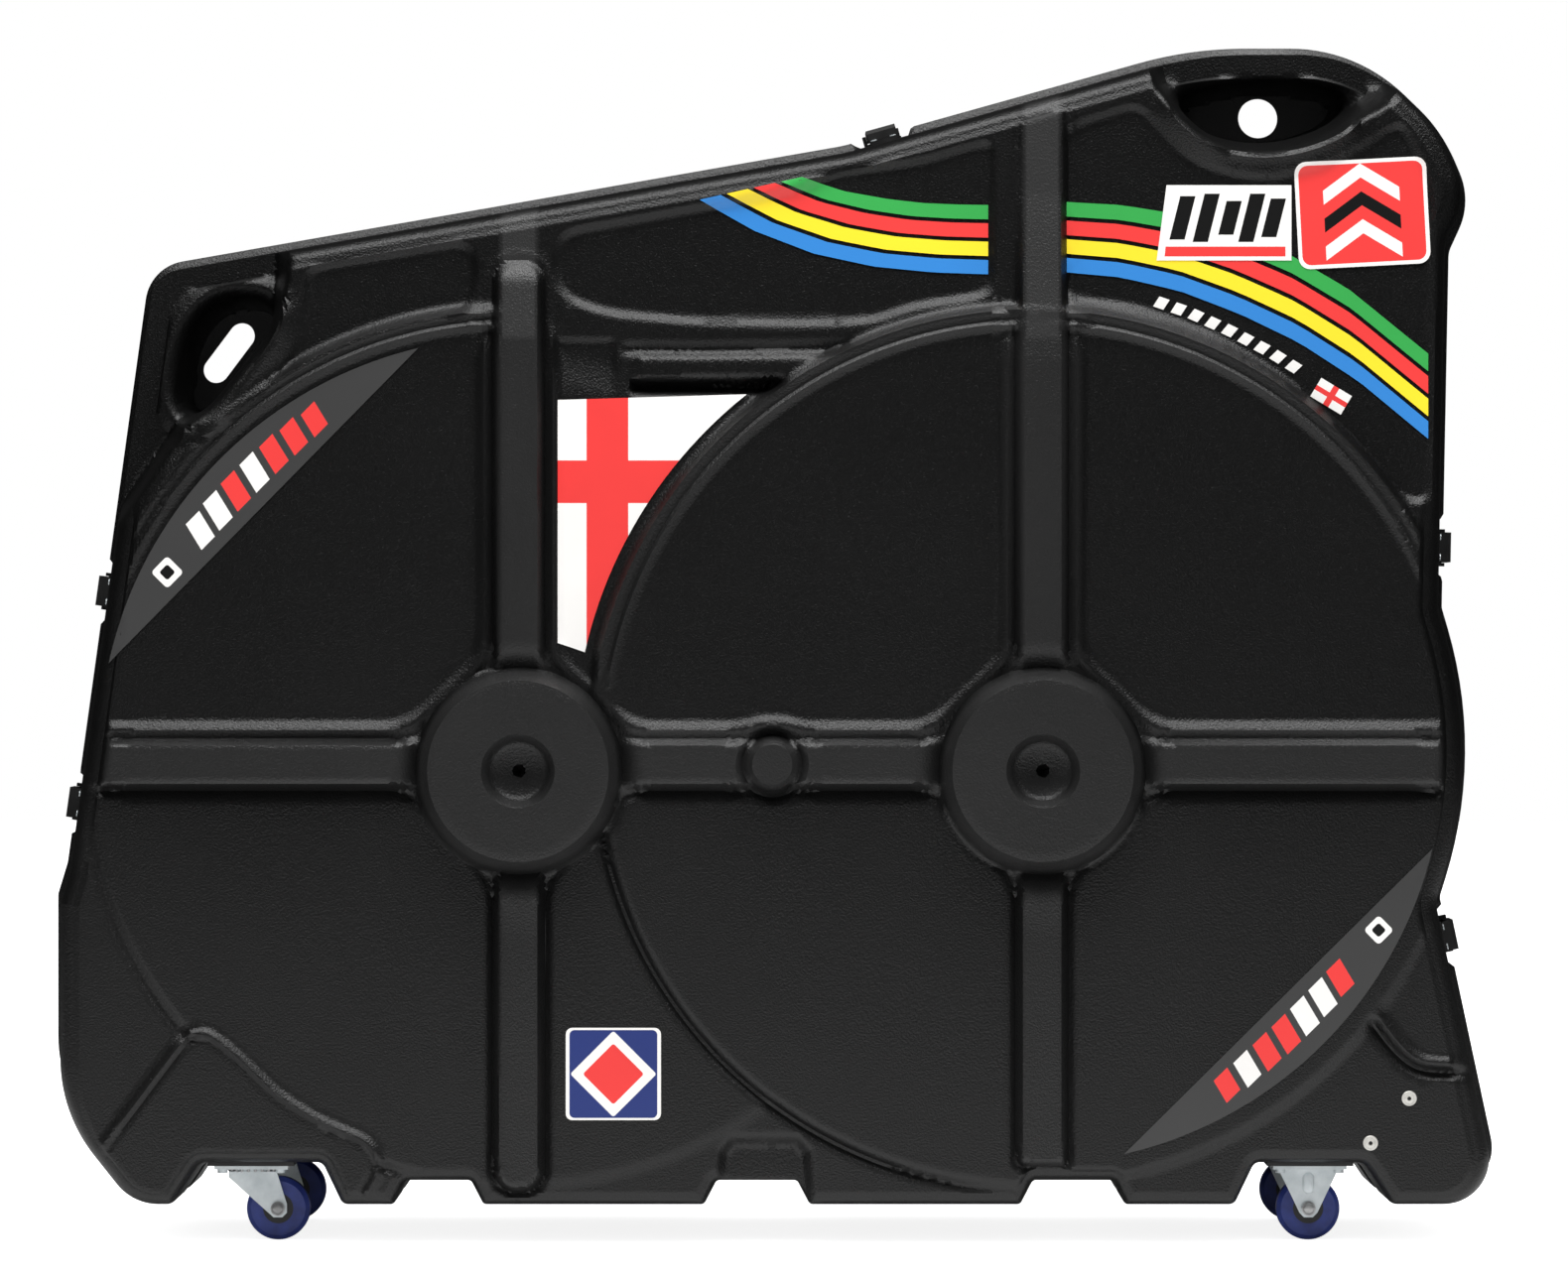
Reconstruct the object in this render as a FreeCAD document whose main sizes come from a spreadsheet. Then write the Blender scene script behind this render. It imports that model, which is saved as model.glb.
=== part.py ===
# Hard-shell bike travel case: two vacuum-formed halves, hinged along the bottom, on four casters.
# Millimetres. X runs along the case, Y from the lid half (negative) to the base half, Z up.
# The origin is on the floor, under the middle of the case, in the plane where the halves meet.
import math
import os
import re

import FreeCAD
import Part
import Sketcher
from FreeCAD import Vector

doc = FreeCAD.newDocument("bike_travel_case")
sheet = doc.addObject("Spreadsheet::Sheet", "sizes")

SIZES = {
    # Whole case
    "case_length": 1157,
    "case_height": 951,
    "foot_height": 30,
    "well_height": 63,
    "notch_height": 49,
    "notch_slope": 10,
    "well_fixed_outer": 41.5,
    "well_fixed_inner": 44,
    "well_swivel_outer": 39.5,
    "well_swivel_inner": 56.5,
    "well_slope_outer": 22,
    "well_slope_inner": 16,
    # Shell skin, measured outward from the seam
    "wall": 3,
    "seam_gap": 3,
    "face_depth": 158,
    "shoulder_drop": 22,
    "shoulder_inset": 14,
    "side_draft": 8,
    "rim_width": 6,
    "rim_depth": 7,
    "keel_width": 64,
    "keel_height": 52,
    # Wheel discs
    "disc_radius": 336,
    "disc_rise": 2,
    "disc_stack": 3,
    "disc_slope": 10,
    "disc_margin": 4,
    "disc_lip_rise": 5,
    "disc_lip_outside": 12,
    "disc_lip_inside": 3,
    "disc_lip_slope": 4,
    "disc_front_x_share": -0.1763,
    "disc_rear_x_share": 0.1746,
    "disc_height_share": 0.4059,
    # Ribs, hubs and the small round boss
    "rib_width": 30,
    "rib_foot": 54,
    "rib_rise": 14,
    "rib_end_margin": 12,
    "rib_lip_width": 56,
    "rib_lip_foot": 70,
    "bar_height_share": 0.3964,
    "hub_front_x_share": -0.1737,
    "hub_rear_x_share": 0.1815,
    "hub_height_share": 0.3912,
    "hub_radius": 76,
    "hub_foot": 90,
    "hub_rise": 27,
    "dish_radius": 28,
    "dish_depth": 7,
    "boss_x_share": -0.0017,
    "boss_radius": 20,
    "boss_foot": 26,
    "boss_rise": 19,
    "boss_lip_radius": 34,
    "boss_lip_foot": 38,
    # Sunk panels above the discs
    "panel_drop": 5,
    "panel_margin": 9,
    "panel_disc_gap": 20,
    "panel_rib_gap": 32,
    "panel_grip_gap": 26,
    "panel_bottom_height_share": 0.605,
    "panel_middle_height_share": 0.764,
    # Handles
    "grip_depth": 92,
    "grip_right_x_share": 0.3397,
    "grip_right_height_share": 1.0210,
    "grip_right_radius": 118,
    "slot_right_radius": 24,
    "slot_right_reach": 45,
    "slot_right_height_share": 0.9411,
    "hole_right_x_share": 0.3362,
    "hole_right_radius": 16,
    "slot_left_radius": 26,
    "slot_left_reach": 24,
    "hole_left_x_share": -0.3803,
    "hole_left_height_share": 0.7424,
    "hole_left_reach": 17,
    "hole_left_radius": 10.6,
    "hole_left_tilt": 53,
    "grip_left_x_share": -0.3319,
    "grip_left_height_share": 0.7666,
    "grip_left_tilt": 52,
    # Seal
    "seal_width": 3,
    "seal_setback": 0.5,
    # Clearances: between moving pieces, and round a turning pin
    "clearance": 0.3,
    "pin_play": 0.05,
    # Catches, measured across the seam and outward from the rim
    "catch_gap": 46,
    "catch_base_width": 30,
    "catch_base_start": 2.5,
    "catch_base_reach": 36,
    "catch_plate": 2,
    "catch_pivot": 28,
    "catch_pin_radius": 2,
    "catch_cheek": 5,
    "catch_lever_width": 24,
    "catch_lever_top": 6,
    "catch_lever_under": 0.8,
    "catch_lever_heel": 3,
    "catch_claw": 3,
    "catch_claw_drop": 4,
    "catch_keeper_width": 22,
    "catch_keeper_reach": 26,
    "catch_lip": 3,
    "catch_lip_start": 8.6,
    "catch_chamfer": 3,
    "catch_rivet_radius": 2.5,
    "catch_rivet_head": 1.2,
    "catch_rivet_spread": 8,
    "catch_rivet_base": 9,
    "catch_rivet_keeper": 19,
    # Hinges, under the keel
    "hinge_length": 50,
    "hinge_middle": 20,
    "hinge_leaf": 2,
    "hinge_leaf_reach": 26,
    "hinge_root": 6,
    "hinge_web": 3,
    "hinge_barrel": 4.5,
    "hinge_drop": 5.5,
    "hinge_pin_radius": 2,
    "hinge_rivet_radius": 2.5,
    "hinge_rivet_head": 1.2,
    "hinge_rivet_x": 17,
    "hinge_rivet_y": 16,
    # Casters
    "caster_y": 105,
    "swivel_x_share": -0.3570,
    "swivel_trail": 20,
    "fixed_x_share": 0.3647,
    "wheel_radius": 25,
    "wheel_shoulder": 3.5,
    "tyre_width": 18,
    "core_radius": 12,
    "axle_radius": 3,
    "axle_head_radius": 5.5,
    "axle_head": 3,
    "pad_side": 68,
    "pad_thick": 3,
    "plate_side": 58,
    "plate_thick": 3,
    "race_radius": 15,
    "race_thick": 2.5,
    "kingpin_radius": 4,
    "kingpin_head_radius": 6.5,
    "kingpin_head": 2,
    "fork_crown": 2.2,
    "fork_sheet": 2,
    "fork_gap": 20,
    "fork_half": 19,
    "fork_tip": 7,
    "fixed_fork_half": 24,
    "caster_bolt_radius": 4,
    "caster_bolt_head": 3,
    "caster_bolt_spread": 23,
    # Foot rivets on the right
    "foot_rivet_radius": 6,
    "foot_rivet_head": 1.5,
    "foot_rivet_upper_x_share": 0.4304,
    "foot_rivet_upper_height": 114,
    "foot_rivet_lower_x_share": 0.4036,
    "foot_rivet_lower_height": 79,
    # Inside
    "foam_thick": 12,
    "foam_x_share": 0.4150,
    "foam_bottom": 100,
    "foam_height_share": 0.5680,
    "foam_hole": 46,
    "pole_radius": 14,
    "pole_flange": 42,
    "pole_flange_thick": 5,
    "pole_slack": 2,
}

for row, (name, value) in enumerate(SIZES.items(), start=1):
    sheet.set("A%d" % row, name)
    sheet.set("B%d" % row, str(value))
    sheet.setAlias("B%d" % row, name)
doc.recompute()


# A place given as a share of the length or the height keeps its spot when the case changes size.
PLACES = {}
for name in SIZES:
    for ending, whole in (("_x_share", "case_length"), ("_height_share", "case_height")):
        if name.endswith(ending):
            PLACES[name.replace("_share", "")] = "(%s * %s)" % (whole, name)


def formula(text):
    """Point every size named in a formula at its cell of the sheet, and every place at its share."""

    def cell(word):
        name = word.group()
        if name in PLACES:
            return formula(PLACES[name])
        return "sizes." + name if name in SIZES else name

    return re.sub(r"[a-z]\w*", cell, text)


def value(text):
    """What a formula comes to."""
    return float(sheet.evalExpression(formula(text)))


def size(name):
    """One size of the sheet, or one place that follows from it."""
    return value(name)


pieces = []


def piece(name, thing):
    """Mark a document object as one of the finished sub-parts."""
    thing.Label = name
    pieces.append(thing)
    return thing


def feature(name, shape):
    """A sub-part whose shape comes from Part's own functions."""
    thing = doc.addObject("Part::Feature", name)
    thing.Shape = shape
    thing.Placement = FreeCAD.Placement()
    return piece(name, thing)


# Outline of the case at the seam, clockwise as seen from the front, starting at the top left.
# Each corner has its share of the length and of the height, how much of the shorter edge beside it
# its arc takes up, and how much of the side draft the edge that leaves it takes.
length = size("case_length")
height = size("case_height")
foot = size("foot_height")
well = size("well_height")
notch = size("notch_height")

upper_shares = [
    (-0.4349, 0.8150, 0.054, 1.0),
    (0.0477, 0.9177, 0.021, 1.0),
    (0.2897, 1.0, 0.286, 1.0),
    (0.4225, 1.0, 0.562, 1.0),
    (0.4861, 0.8697, 0.396, 1.0),
    (0.4688, 0.8277, 0.100, 1.0),
    (0.4640, 0.5265, 0.014, 1.0),
    (0.4937, 0.4028, 0.870, 1.0),
    (0.4626, 0.2817, 0.025, 1.0),
]
# Hinge notches along the bottom: shares of the length where each one starts and ends.
notch_shares = [(0.2297, 0.1758), (0.0150, -0.0395), (-0.2071, -0.2509)]
bottom_take = 0.12
right_foot_share = (0.5064, 0.4435)
left_foot_shares = [
    (-0.4420, foot / height, 0.298, 0.3),
    (-0.4990, 0.1185, 0.210, 1.0),
    (-0.4990, 0.2842, 0.064, 1.0),
    (-0.4923, 0.3111, 0.034, 1.0),
]


def dip(x_right, x_left, slope_right, slope_left, level):
    """Four corners of a recess in the bottom edge, from its right foot to its left one."""
    return [(x_right + slope_right, foot), (x_right, level), (x_left, level), (x_left - slope_left, foot)]


def bottom_spots():
    """Corners of the bottom edge from right to left: a caster well, the hinge notches, a caster well."""
    outer, inner = size("well_slope_outer"), size("well_slope_inner")
    fixed, swivel = size("fixed_x"), size("swivel_x")
    spots = dip(fixed + size("well_fixed_outer"), fixed - size("well_fixed_inner"), outer, inner, well)
    for right, left in notch_shares:
        spots += dip(right * length, left * length, size("notch_slope"), size("notch_slope"), notch)
    spots += dip(swivel + size("well_swivel_inner"), swivel - size("well_swivel_outer"), inner, outer, well)
    return spots


def outline_corners():
    """Corners of the seam outline in millimetres: x, z, radius, draft share of the next edge."""
    spots = [(x * length, z * height, take, draft) for x, z, take, draft in upper_shares]
    spots.append((right_foot_share[0] * length, foot, right_foot_share[1], 0.0))
    spots += [(x, level, bottom_take, 0.0) for x, level in bottom_spots()]
    spots += [(x * length, z * height, take, draft) for x, z, take, draft in left_foot_shares]
    corners = []
    for i, (x, z, take, draft) in enumerate(spots):
        x_back, z_back = spots[i - 1][:2]
        x_next, z_next = spots[(i + 1) % len(spots)][:2]
        before = Vector(x - x_back, 0, z - z_back)
        after = Vector(x_next - x, 0, z_next - z)
        reach = take * min(before.Length, after.Length)
        corners.append((x, z, reach / math.tan(before.getAngle(after) / 2), draft))
    return corners


def inset_polygon(corners, inset, draft):
    """Move every edge inward by the inset and its share of the draft; return x, z, radius."""
    count = len(corners)
    edges = []
    for i, (x, z, _, share) in enumerate(corners):
        x_next, z_next = corners[(i + 1) % count][:2]
        run = math.hypot(x_next - x, z_next - z)
        along = ((x_next - x) / run, (z_next - z) / run)
        shift = inset + draft * share
        edges.append((x + along[1] * shift, z - along[0] * shift, along, shift))
    moved = []
    for i, (_, _, radius, _) in enumerate(corners):
        x_a, z_a, before, shift_a = edges[i - 1]
        x_b, z_b, after, shift_b = edges[i]
        turn = before[0] * after[1] - before[1] * after[0]
        step = ((x_b - x_a) * after[1] - (z_b - z_a) * after[0]) / turn
        shift = min(shift_a, shift_b)
        grown = radius + shift if turn > 0 else max(radius - shift, radius / 2)
        moved.append((x_a + before[0] * step, z_a + before[1] * step, grown))
    return moved


def rounded_wire(polygon, y):
    """A closed wire at one depth, with an arc at every corner."""
    count = len(polygon)
    starts = []
    ends = []
    middles = []
    for i, (x, z, radius) in enumerate(polygon):
        here = Vector(x, y, z)
        back = Vector(polygon[i - 1][0], y, polygon[i - 1][1]).sub(here).normalize()
        x_next, z_next = polygon[(i + 1) % count][:2]
        ahead = Vector(x_next, y, z_next).sub(here).normalize()
        half = back.getAngle(ahead) / 2
        reach = radius / math.tan(half)
        bisector = back.add(ahead).normalize()
        starts.append(here.add(back * reach))
        ends.append(here.add(ahead * reach))
        middles.append(here.add(bisector * (radius / math.sin(half) - radius)))
    edges = []
    for i in range(count):
        edges.append(Part.Arc(starts[i], middles[i], ends[i]).toShape())
        edges.append(Part.LineSegment(ends[i], starts[(i + 1) % count]).toShape())
    return Part.Wire(edges)


def prism(polygon, y_from, y_to):
    """A straight solid over a rounded outline."""
    face = Part.Face(rounded_wire(polygon, y_from))
    return face.extrude(Vector(0, y_to - y_from, 0))


def sharp_prism(points, y_from, y_to):
    """A straight solid over a plain polygon of x, z points."""
    ring = [Vector(x, y_from, z) for x, z in points]
    face = Part.Face(Part.makePolygon(ring + ring[:1]))
    return face.extrude(Vector(0, y_to - y_from, 0))


def frustum(foot_radius, top_radius, x, z, y_from, y_to):
    """A round boss that narrows away from the seam; a dish when the radii are the other way round."""
    axis = Vector(0, -1, 0)
    return Part.makeCone(foot_radius, top_radius, y_from - y_to, Vector(x, y_from, z), axis)


def obround(radius, reach, tilt, x, z, y_from, y_to):
    """A slot with round ends, its long axis turned by the tilt from level."""
    shift_x = reach * math.cos(math.radians(tilt))
    shift_z = reach * math.sin(math.radians(tilt))
    run = Vector(0, y_to - y_from, 0)
    ends = []
    for way in (-1, 1):
        base = Vector(x + way * shift_x, y_from, z + way * shift_z)
        ends.append(Part.makeCylinder(radius, abs(run.y), base, run))
    bar = Part.makeBox(2 * reach, abs(run.y), 2 * radius, Vector(-reach, min(0, run.y), -radius))
    bar.Placement = FreeCAD.Placement(Vector(x, y_from, z), FreeCAD.Rotation(Vector(0, 1, 0), -tilt))
    return bar.fuse(ends).removeSplitter()


def tapered_bar(x_span, z_span, narrow, y_foot, y_top):
    """A straight rib: a rectangle at its foot, narrower on every side at its top."""
    return Part.makeWedge(x_span[0] + narrow, y_top, z_span[0] + narrow, z_span[0], x_span[0],
                          x_span[1] - narrow, y_foot, z_span[1] - narrow, z_span[1], x_span[1])


corners = outline_corners()
wall = size("wall")
seam = size("seam_gap") / 2
rim = size("rim_width")
face_depth = size("face_depth")
drafted = rim + size("side_draft")
faced = drafted + size("shoulder_inset")
overrun = 2 * face_depth

# Catches round the rim: the outline edge that each one sits on and its share along that edge.
catch_shares = {
    "top": (1, 0.11),
    "right_upper": (5, 0.83),
    "right_lower": (8, 0.13),
    "left_lower": (len(corners) - 1, 0.10),
    "left_upper": (len(corners) - 1, 0.455),
}


def catch_place(name):
    """Where a catch sits: its own X runs along the rim and its own Z points outward."""
    edge, share = catch_shares[name]
    x_a, z_a = corners[edge][:2]
    x_b, z_b = corners[(edge + 1) % len(corners)][:2]
    turn = math.degrees(math.atan2(z_a - z_b, x_b - x_a))
    point = Vector(x_a + share * (x_b - x_a), 0, z_a + share * (z_b - z_a))
    return FreeCAD.Placement(point, FreeCAD.Rotation(Vector(0, 1, 0), turn))


def post(radius, x, z, y_from, y_to):
    """A round bar straight out from the seam."""
    return Part.makeCylinder(radius, y_from - y_to, Vector(x, y_from, z), Vector(0, -1, 0))


def disc_lip(place, stack, skin):
    """The raised edge of one wheel disc, and of the ribs that cross it."""
    root = -(face_depth - skin) + wall
    floor = -(face_depth + size("disc_rise") + stack - skin)
    top = floor - size("disc_lip_rise")
    x, z = size(place), size("disc_height")
    outer = size("disc_radius") + size("disc_lip_outside") - skin
    inner = size("disc_radius") - size("disc_lip_inside") + skin
    slope = size("disc_lip_slope")
    edge = frustum(outer + slope, outer, x, z, root, top)
    edge = edge.cut(frustum(inner - slope, inner, x, z, floor, top))
    edge = edge.cut(post(inner - slope, x, z, root, top))
    half = size("rib_lip_foot") / 2 - skin
    narrow = (size("rib_lip_foot") - size("rib_lip_width")) / 2
    bar, hub = size("bar_height"), size(place.replace("disc", "hub"))
    level = tapered_bar((-length, length), (bar - half, bar + half), narrow, root, top)
    upright = tapered_bar((hub - half, hub + half), (-height, 2 * height), narrow, root, top)
    return edge.fuse([level.fuse(upright).common(post(outer, x, z, root, top))])


def shell_lips(skin):
    """Raised edges of both discs above the level rib, the right one over the left, and of the small boss."""
    root = -(face_depth - skin) + wall
    stack = size("disc_stack")
    left = disc_lip("disc_front_x", 0, skin)
    over = post(size("disc_radius"), size("disc_rear_x"), size("disc_height"), overrun, -overrun)
    hub, upright = size("hub_front_x"), size("rib_lip_width")
    open_side = Part.makeBox(length, 2 * overrun, height, Vector(hub, -overrun, size("bar_height")))
    kept = Part.makeBox(upright, 2 * overrun, 2 * height, Vector(hub - upright / 2, -overrun, 0))
    under = size("bar_height") + skin
    lower = Part.makeBox(4 * length, 2 * overrun, under + height, Vector(-2 * length, -overrun, -height))
    left = left.cut(over).cut(open_side.cut(kept)).cut(lower)
    top = -(face_depth + size("disc_rise") + stack + size("disc_lip_rise") - skin)
    boss = frustum(size("boss_lip_foot") - skin, size("boss_lip_radius") - skin, size("boss_x"),
                   size("bar_height"), root, top)
    return [left, disc_lip("disc_rear_x", stack, skin).cut(lower), boss]


def panel_hollow(skin):
    """The sunk panels of the face: what lies above the discs, clear of the ribs, the grips and the edge."""
    floor = -(face_depth - size("panel_drop") - skin)
    hollow = prism(inset_polygon(corners, size("panel_margin") - skin, faced), floor, -face_depth)
    kept = []
    disc = size("disc_radius") + size("panel_disc_gap") - skin
    for place in ("disc_front_x", "disc_rear_x"):
        kept.append(post(disc, size(place), size("disc_height"), overrun, -overrun))
    half = size("panel_rib_gap") - skin
    for place in ("hub_front_x", "hub_rear_x"):
        corner = Vector(size(place) - half, -overrun, 0)
        kept.append(Part.makeBox(2 * half, 2 * overrun, 2 * height, corner))
    gap = size("panel_grip_gap") - skin
    kept.append(post(size("grip_right_radius") + gap, size("grip_right_x"), size("grip_right_height"),
                     overrun, -overrun))
    kept.append(sharp_prism(left_grip(gap), overrun, -overrun))
    bottom = size("panel_bottom_height") - skin
    kept.append(Part.makeBox(2 * length, 2 * overrun, bottom, Vector(-length, -overrun, 0)))
    between = size("hub_rear_x") - size("hub_front_x")
    middle = size("panel_middle_height") - skin
    kept.append(Part.makeBox(between, 2 * overrun, middle, Vector(size("hub_front_x"), -overrun, 0)))
    return hollow.cut(kept)


def left_grip(grown):
    """Corners of the lowered left grip, grown by a distance."""
    tilt = math.radians(size("grip_left_tilt"))
    corner_x = size("grip_left_x") + grown
    corner_z = size("grip_left_height") - grown * (1 - math.sin(tilt)) / math.cos(tilt)
    low = (corner_x - length * math.cos(tilt), corner_z - length * math.sin(tilt))
    above = 2 * height
    return [(corner_x, corner_z), (corner_x, above), (low[0], above), low]


def shell_features(skin):
    """Everything raised above the flat face of one half, drawn in by the skin thickness."""
    root = -(face_depth - skin) + wall
    limit_inset = size("disc_margin") + skin
    limit = prism(inset_polygon(corners, limit_inset, faced), root, -overrun)
    raised = []
    stacks = (("disc_front_x", 0), ("disc_rear_x", size("disc_stack")))
    for place, stack in stacks:
        top = -(face_depth + size("disc_rise") + stack - skin)
        radius = size("disc_radius") - skin
        foot_radius = radius + size("disc_slope")
        raised.append(frustum(foot_radius, radius, size(place), size("disc_height"), root, top))
    rib_top = -(face_depth + size("rib_rise") - skin)
    half_foot = size("rib_foot") / 2 - skin
    narrow = (size("rib_foot") - size("rib_width")) / 2
    bar = size("bar_height")
    raised.append(tapered_bar((-length, length), (bar - half_foot, bar + half_foot), narrow, root, rib_top))
    for place in ("hub_front_x", "hub_rear_x"):
        x = size(place)
        x_span = (x - half_foot, x + half_foot)
        raised.append(tapered_bar(x_span, (-height, 2 * height), narrow, root, rib_top))
    rounded = []
    for place in ("hub_front_x", "hub_rear_x"):
        top = -(face_depth + size("hub_rise") - skin)
        rounded.append(frustum(size("hub_foot") - skin, size("hub_radius") - skin, size(place),
                               size("hub_height"), root, top))
    boss_top = -(face_depth + size("boss_rise") - skin)
    rounded.append(frustum(size("boss_foot") - skin, size("boss_radius") - skin, size("boss_x"),
                           size("bar_height"), root, boss_top))
    rib_limit = prism(inset_polygon(corners, size("rib_end_margin") + skin, faced), root, -overrun)
    discs = [shape.common(limit) for shape in raised[:2]]
    ribs = [shape.common(rib_limit) for shape in raised[2:]]
    lips = [shape.common(limit) for shape in shell_lips(skin)]
    return discs + lips + ribs + rounded


def shell_hollows(skin):
    """What is cut out of one half: hub dishes, hand grips, their slots and the keel, grown by the skin."""
    cuts = []
    for place in ("hub_front_x", "hub_rear_x"):
        top = -(face_depth + size("hub_rise"))
        floor = top + size("dish_depth") + skin
        middle = Vector(size(place), floor, size("hub_height"))
        cuts.append(Part.makeCylinder(size("dish_radius") + skin, overrun, middle, Vector(0, -1, 0)))
    grip = -(size("grip_depth") - skin)
    middle = Vector(size("grip_right_x"), grip, size("grip_right_height"))
    cuts.append(Part.makeCylinder(size("grip_right_radius") + skin, overrun, middle, Vector(0, -1, 0)))
    cuts.append(sharp_prism(left_grip(skin), grip, -overrun))
    cuts.append(panel_hollow(skin))
    slot_floor = -(seam + wall) if skin == 0 else overrun
    cuts.append(obround(size("slot_right_radius") + skin, size("slot_right_reach"), 0, size("hole_right_x"),
                        size("slot_right_height"), slot_floor, -overrun))
    cuts.append(obround(size("slot_left_radius") + skin, size("slot_left_reach"), size("hole_left_tilt"),
                        size("hole_left_x"), size("hole_left_height"), slot_floor, -overrun))
    half_keel = size("keel_width") / 2 + skin
    keel_top = size("keel_height") + skin
    cuts.append(Part.makeBox(2 * length, 2 * half_keel, keel_top, Vector(-length, -half_keel, 0)))
    return cuts


def shell_body(skin, y_seam):
    """One half as a solid, drawn in by the skin thickness."""
    shoulder = -(face_depth - size("shoulder_drop"))
    wires = [
        rounded_wire(inset_polygon(corners, skin, rim), y_seam),
        rounded_wire(inset_polygon(corners, skin, drafted), shoulder),
        rounded_wire(inset_polygon(corners, skin, faced), -(face_depth - skin)),
    ]
    body = Part.makeLoft(wires, True, True)
    body = body.fuse(shell_features(skin))
    return body.cut(shell_hollows(skin))


def rim_bead():
    """The bead round the open edge of one half, left off at the keel and at every catch."""
    back = -(seam + size("rim_depth"))
    bead = prism(inset_polygon(corners, 0, 0), -seam, back)
    bead = bead.cut(prism(inset_polygon(corners, rim + wall / 2, 0), overrun, -overrun))
    gaps = []
    for name in catch_shares:
        gap = Part.makeBox(size("catch_gap"), 2 * overrun, 2 * size("catch_gap"),
                           Vector(-size("catch_gap") / 2, -overrun, -size("catch_gap")))
        gap.Placement = catch_place(name)
        gaps.append(gap)
    gaps.append(Part.makeBox(2 * length, 2 * overrun, well + 2 * wall, Vector(-length, -overrun, 0)))
    return bead.cut(gaps)


def half_shell():
    """The lid half: its skin, its rim and the two hand holes."""
    shape = shell_body(0, -seam).fuse(rim_bead())
    shape = shape.cut(shell_body(wall, seam))
    middle = Vector(size("hole_right_x"), overrun, size("slot_right_height"))
    holes = [
        Part.makeCylinder(size("hole_right_radius"), 2 * overrun, middle, Vector(0, -1, 0)),
        obround(size("hole_left_radius"), size("hole_left_reach"), size("hole_left_tilt"),
                size("hole_left_x"), size("hole_left_height"), overrun, -overrun),
    ]
    return shape.cut(holes).removeSplitter()


front_half = half_shell()
feature("front_shell", front_half)
feature("rear_shell", front_half.mirror(Vector(0, 0, 0), Vector(0, 1, 0)))

# The seal lies on the base half, all round but for the bottom.
seal_inset = rim + size("seal_setback")
seal_back = -(seam - size("clearance"))
seal_ring = prism(inset_polygon(corners, 0, seal_inset), seam, seal_back)
seal_inside = inset_polygon(corners, 0, seal_inset + size("seal_width"))
seal_ring = seal_ring.cut(prism(seal_inside, overrun, -overrun))
seal_end = Part.makeBox(2 * length, 2 * overrun, well + 2 * wall, Vector(-length, -overrun, 0))
feature("rim_seal", seal_ring.cut(seal_end))


def bind(thing, **formulas):
    """Bind properties of a document object to formulas over the sheet."""
    for name, text in formulas.items():
        thing.setExpression(name.replace("_", "."), formula(text))
    return thing


def block(name, x_span, y_span, z_span):
    """A box between two formulas on each axis."""
    thing = doc.addObject("Part::Box", name)
    bind(thing, Placement_Base_x=x_span[0], Placement_Base_y=y_span[0], Placement_Base_z=z_span[0])
    sides = ["(%s) - (%s)" % (span[1], span[0]) for span in (x_span, y_span, z_span)]
    return bind(thing, Length=sides[0], Width=sides[1], Height=sides[2])


turns = {"x": (Vector(0, 1, 0), 90), "y": (Vector(1, 0, 0), -90), "z": (Vector(0, 0, 1), 0)}


def rod(name, radius, axis, start, run):
    """A cylinder from a start point, along one axis."""
    thing = doc.addObject("Part::Cylinder", name)
    thing.Placement = FreeCAD.Placement(Vector(0, 0, 0), FreeCAD.Rotation(*turns[axis]))
    bind(thing, Placement_Base_x=start[0], Placement_Base_y=start[1], Placement_Base_z=start[2])
    return bind(thing, Radius=radius, Height=run)


def fuse(name, *things):
    """Several solids made one."""
    joined = doc.addObject("Part::MultiFuse", name)
    joined.Shapes = list(things)
    return joined


def cut(name, base, tool):
    """One solid less another."""
    left = doc.addObject("Part::Cut", name)
    left.Base = base
    left.Tool = tool
    return left


def group(name, things):
    """Identical fasteners that share one node."""
    gathered = doc.addObject("Part::Compound", name)
    gathered.Links = things
    return piece(name, gathered)


def sketch_on(body, name, plane):
    """An empty sketch on one of the body's own origin planes."""
    sketch = body.newObject("Sketcher::SketchObject", name)
    support = [part for part in body.Origin.OriginFeatures if part.Role == plane][0]
    sketch.AttachmentSupport = [(support, "")]
    sketch.MapMode = "FlatFace"
    return sketch


def profile(body, name, plane, points):
    """A closed sketch of straight lines whose corners are held by formulas."""
    sketch = sketch_on(body, name, plane)
    spots = [Vector(value(x), value(y), 0) for x, y in points]
    count = len(spots)
    for i in range(count):
        sketch.addGeometry(Part.LineSegment(spots[i], spots[(i + 1) % count]))
    for i in range(count):
        sketch.addConstraint(Sketcher.Constraint("Coincident", i, 2, (i + 1) % count, 1))
    for i, (x, y) in enumerate(points):
        for kind, text in (("DistanceX", x), ("DistanceY", y)):
            held = sketch.addConstraint(Sketcher.Constraint(kind, -1, 1, i, 1, value(text)))
            sketch.setExpression("Constraints[%d]" % held, formula(text))
    return sketch


def ring(body, name, plane, x, y, radius):
    """A sketch of one circle."""
    sketch = sketch_on(body, name, plane)
    sketch.addGeometry(Part.Circle(Vector(value(x), value(y), 0), Vector(0, 0, 1), value(radius)))
    for constraint, text in (
        (Sketcher.Constraint("DistanceX", -1, 1, 0, 3, value(x)), x),
        (Sketcher.Constraint("DistanceY", -1, 1, 0, 3, value(y)), y),
        (Sketcher.Constraint("Radius", 0, value(radius)), radius),
    ):
        held = sketch.addConstraint(constraint)
        sketch.setExpression("Constraints[%d]" % held, formula(text))
    return sketch


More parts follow.
